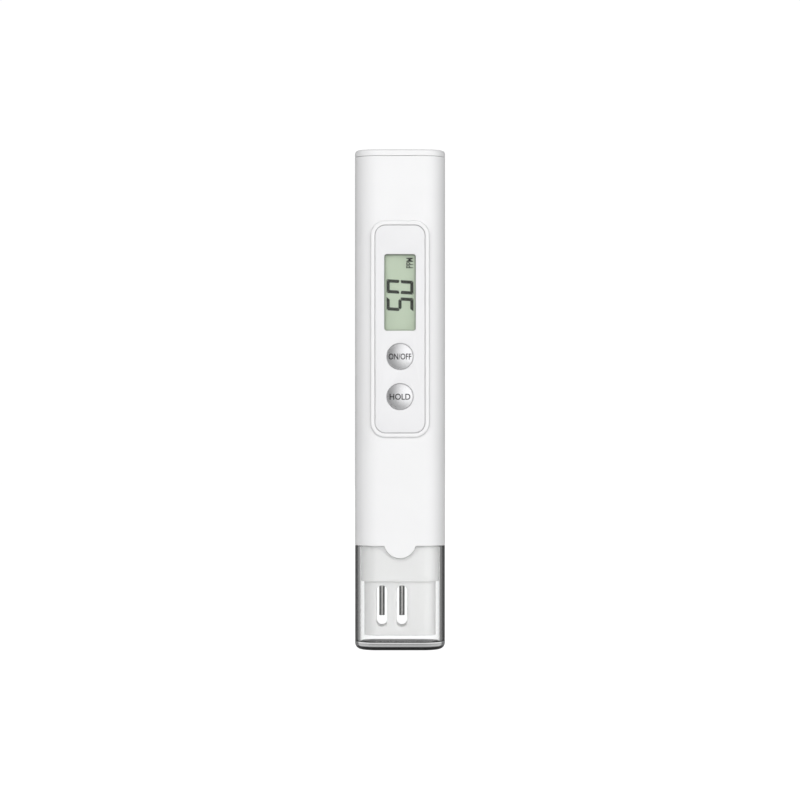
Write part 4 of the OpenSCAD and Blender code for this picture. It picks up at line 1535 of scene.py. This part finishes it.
def brightness_along(nodes, links, direction, axis, stops):
    """A grey that depends on how far a direction points along an axis"""
    dot = nodes.new("ShaderNodeVectorMath")
    dot.operation = "DOT_PRODUCT"
    dot.inputs[1].default_value = axis
    links.new(direction, dot.inputs[0])
    half = nodes.new("ShaderNodeMapRange")
    half.inputs["From Min"].default_value = -1
    half.inputs["From Max"].default_value = 1
    links.new(dot.outputs["Value"], half.inputs["Value"])
    ramp = nodes.new("ShaderNodeFloatCurve")
    curve = ramp.mapping.curves[0]
    ramp.mapping.clip_max_y = BRIGHTEST
    while len(curve.points) < len(stops):
        curve.points.new(0.5, 0.5)
    for point, (place, value) in zip(curve.points, stops):
        point.location = (place, value)
        point.handle_type = "VECTOR"
    ramp.mapping.update()
    links.new(half.outputs["Result"], ramp.inputs["Value"])
    return ramp.outputs["Value"]


def either(nodes, links, factor, a, b):
    """Value a where the factor is 0 and b where it is 1 or more"""
    choose = nodes.new("ShaderNodeMix")
    links.new(factor, choose.inputs["Factor"])
    links.new(a, choose.inputs["A"])
    links.new(b, choose.inputs["B"])
    return choose.outputs["Result"]


def floor_white():
    """A pale floor: white to the eye, and in reflections as bright as the air seen that way"""
    paint = Paint("Studio floor", (0.25, 0.25, 0.25), 0.9)
    paint.vary_colour(0.01, 3)
    nodes, links = paint.nodes, paint.links
    path = paint.add("ShaderNodeLightPath").outputs
    from_tester = paint.add("ShaderNodeVectorMath", operation="SUBTRACT")
    from_tester.inputs[1].default_value = (0, 0, cad_box[1].z / 2)
    links.new(paint.coords, from_tester.inputs[0])
    direction = paint.add("ShaderNodeVectorMath", operation="NORMALIZE")
    links.new(from_tester.outputs["Vector"], direction.inputs[0])
    gloss = brightness_along(nodes, links, direction.outputs["Vector"], GLOSS_AXIS, GLOSS)
    white = paint.add("ShaderNodeValue").outputs[0]
    white.default_value = FLOOR_WHITE
    matt = paint.add("ShaderNodeValue").outputs[0]
    matt.default_value = FLOOR_MATT
    through = either(nodes, links, path["Diffuse Depth"], white, matt)
    seen = either(nodes, links, path["Is Diffuse Ray"], white, matt)
    seen = either(nodes, links, path["Is Glossy Ray"], seen, gloss)
    seen = either(nodes, links, path["Is Transmission Ray"], seen, through)
    glow = paint.add("ShaderNodeEmission")
    links.new(seen, glow.inputs["Strength"])
    total = paint.add("ShaderNodeAddShader")
    links.new(paint.shader.outputs["BSDF"], total.inputs[0])
    links.new(glow.outputs["Emission"], total.inputs[1])
    # Light that ran inside the clear wall goes on to the air, with the floor's own light added
    bounced = paint.add("ShaderNodeMath", operation="MULTIPLY", use_clamp=True)
    links.new(path["Is Transmission Ray"], bounced.inputs[0])
    links.new(path["Glossy Depth"], bounced.inputs[1])
    passing = paint.add("ShaderNodeMath", operation="SUBTRACT", use_clamp=True)
    links.new(bounced.outputs[0], passing.inputs[0])
    links.new(path["Diffuse Depth"], passing.inputs[1])
    own = paint.add("ShaderNodeEmission")
    own.inputs["Strength"].default_value = FLOOR_OWN
    onward = paint.add("ShaderNodeAddShader")
    links.new(paint.add("ShaderNodeBsdfTransparent").outputs["BSDF"], onward.inputs[0])
    links.new(own.outputs["Emission"], onward.inputs[1])
    choice = paint.add("ShaderNodeMixShader")
    links.new(passing.outputs[0], choice.inputs["Fac"])
    links.new(total.outputs["Shader"], choice.inputs[1])
    links.new(onward.outputs["Shader"], choice.inputs[2])
    links.new(choice.outputs["Shader"], paint.output.inputs["Surface"])
    return paint.material


def studio_air():
    """White to the eye and through the clear cap; soft light from front and back, dim from the sides"""
    world = bpy.data.worlds.new("Studio air")
    world.use_nodes = True
    bpy.context.scene.world = world
    nodes, links = world.node_tree.nodes, world.node_tree.links
    direction = nodes.new("ShaderNodeTexCoord").outputs["Generated"]
    path = nodes.new("ShaderNodeLightPath").outputs

    def grey(axis, stops):
        return brightness_along(nodes, links, direction, axis, stops)

    def pick(factor, a, b):
        return either(nodes, links, factor, a, b)

    soft, gloss = grey(SOFT_AXIS, SOFT_LIGHT), grey(GLOSS_AXIS, GLOSS)
    white = nodes.new("ShaderNodeValue").outputs[0]
    white.default_value = WHITE
    clear = pick(path["Glossy Depth"], white, gloss)
    clear = pick(path["Diffuse Depth"], clear, grey(SOFT_AXIS, SOFT_SHARE))
    shade = pick(path["Is Glossy Ray"], soft, gloss)
    shade = pick(path["Is Transmission Ray"], shade, clear)
    shade = pick(path["Is Camera Ray"], shade, white)
    links.new(shade, nodes["Background"].inputs["Strength"])
    nodes["Background"].inputs["Color"].default_value = (1, 1, 1, 1)


class TESTER_OT_studio(bpy.types.Operator):
    """Sets up the floor, the light and the camera"""

    bl_idname = "tester.studio"
    bl_label = "Studio"

    def execute(self, context):
        s = context.scene.studio_settings
        middle = cad_box[1].z / 2
        data = bpy.data.cameras.new("Camera")
        data.lens = s.lens
        data.sensor_width = 36
        camera = in_scene("Camera", data)
        camera.location = (0, -s.distance, middle)
        camera.rotation_euler = (math.pi / 2, 0, 0)
        context.scene.camera = camera
        reach, drop = 4.0, -90 * MM  # low enough for the cap to be pulled right off
        flat_sheet("studio_floor", [(-reach, -reach, drop), (reach, -reach, drop),
                                    (reach, reach, drop), (-reach, reach, drop)], floor_white())
        area_light("front_strip", (0, -1.4, middle), (0, 0, middle), 0.12, 1.3, s.front_power)
        area_light("right_strip", (0.17, -1.38, middle), (0, 0, middle), 0.2, 1.3, s.right_power)
        studio_air()
        context.scene.view_settings.view_transform = "Standard"
        return {"FINISHED"}


STEPS = (TESTER_OT_studio, TESTER_OT_casing, TESTER_OT_panel, TESTER_OT_display, TESTER_OT_keys,
         TESTER_OT_battery, TESTER_OT_probe, TESTER_OT_cap, TESTER_OT_inside, TESTER_OT_board_parts)


class TESTER_PT_sidebar(bpy.types.Panel):
    """Lists the steps that build the tester"""

    bl_idname = "TESTER_PT_sidebar"
    bl_label = "Water Tester"
    bl_space_type = "VIEW_3D"
    bl_region_type = "UI"
    bl_category = "Water Tester"

    def draw(self, context):
        for group in (context.scene.tester_sizes, context.scene.tester_colours,
                      context.scene.studio_settings):
            box = self.layout.box()
            for name in group.bl_rna.properties.keys():
                if name not in ("rna_type", "name"):
                    box.prop(group, name)
        for step in STEPS:
            self.layout.operator(step.bl_idname)


CLASSES = (TesterSizes, TesterColours, StudioSettings) + STEPS + (TESTER_PT_sidebar,)


def register():
    for cls in CLASSES:
        bpy.utils.register_class(cls)
    bpy.types.Scene.tester_sizes = bpy.props.PointerProperty(type=TesterSizes)
    bpy.types.Scene.tester_colours = bpy.props.PointerProperty(type=TesterColours)
    bpy.types.Scene.studio_settings = bpy.props.PointerProperty(type=StudioSettings)


def unregister():
    del bpy.types.Scene.studio_settings
    del bpy.types.Scene.tester_colours
    del bpy.types.Scene.tester_sizes
    for cls in reversed(CLASSES):
        bpy.utils.unregister_class(cls)


def main():
    register()
    for step in STEPS:
        group, name = step.bl_idname.split(".")
        if getattr(getattr(bpy.ops, group), name)() != {"FINISHED"}:
            raise RuntimeError(step.bl_label + " was not built")


if __name__ == "__main__":
    main()
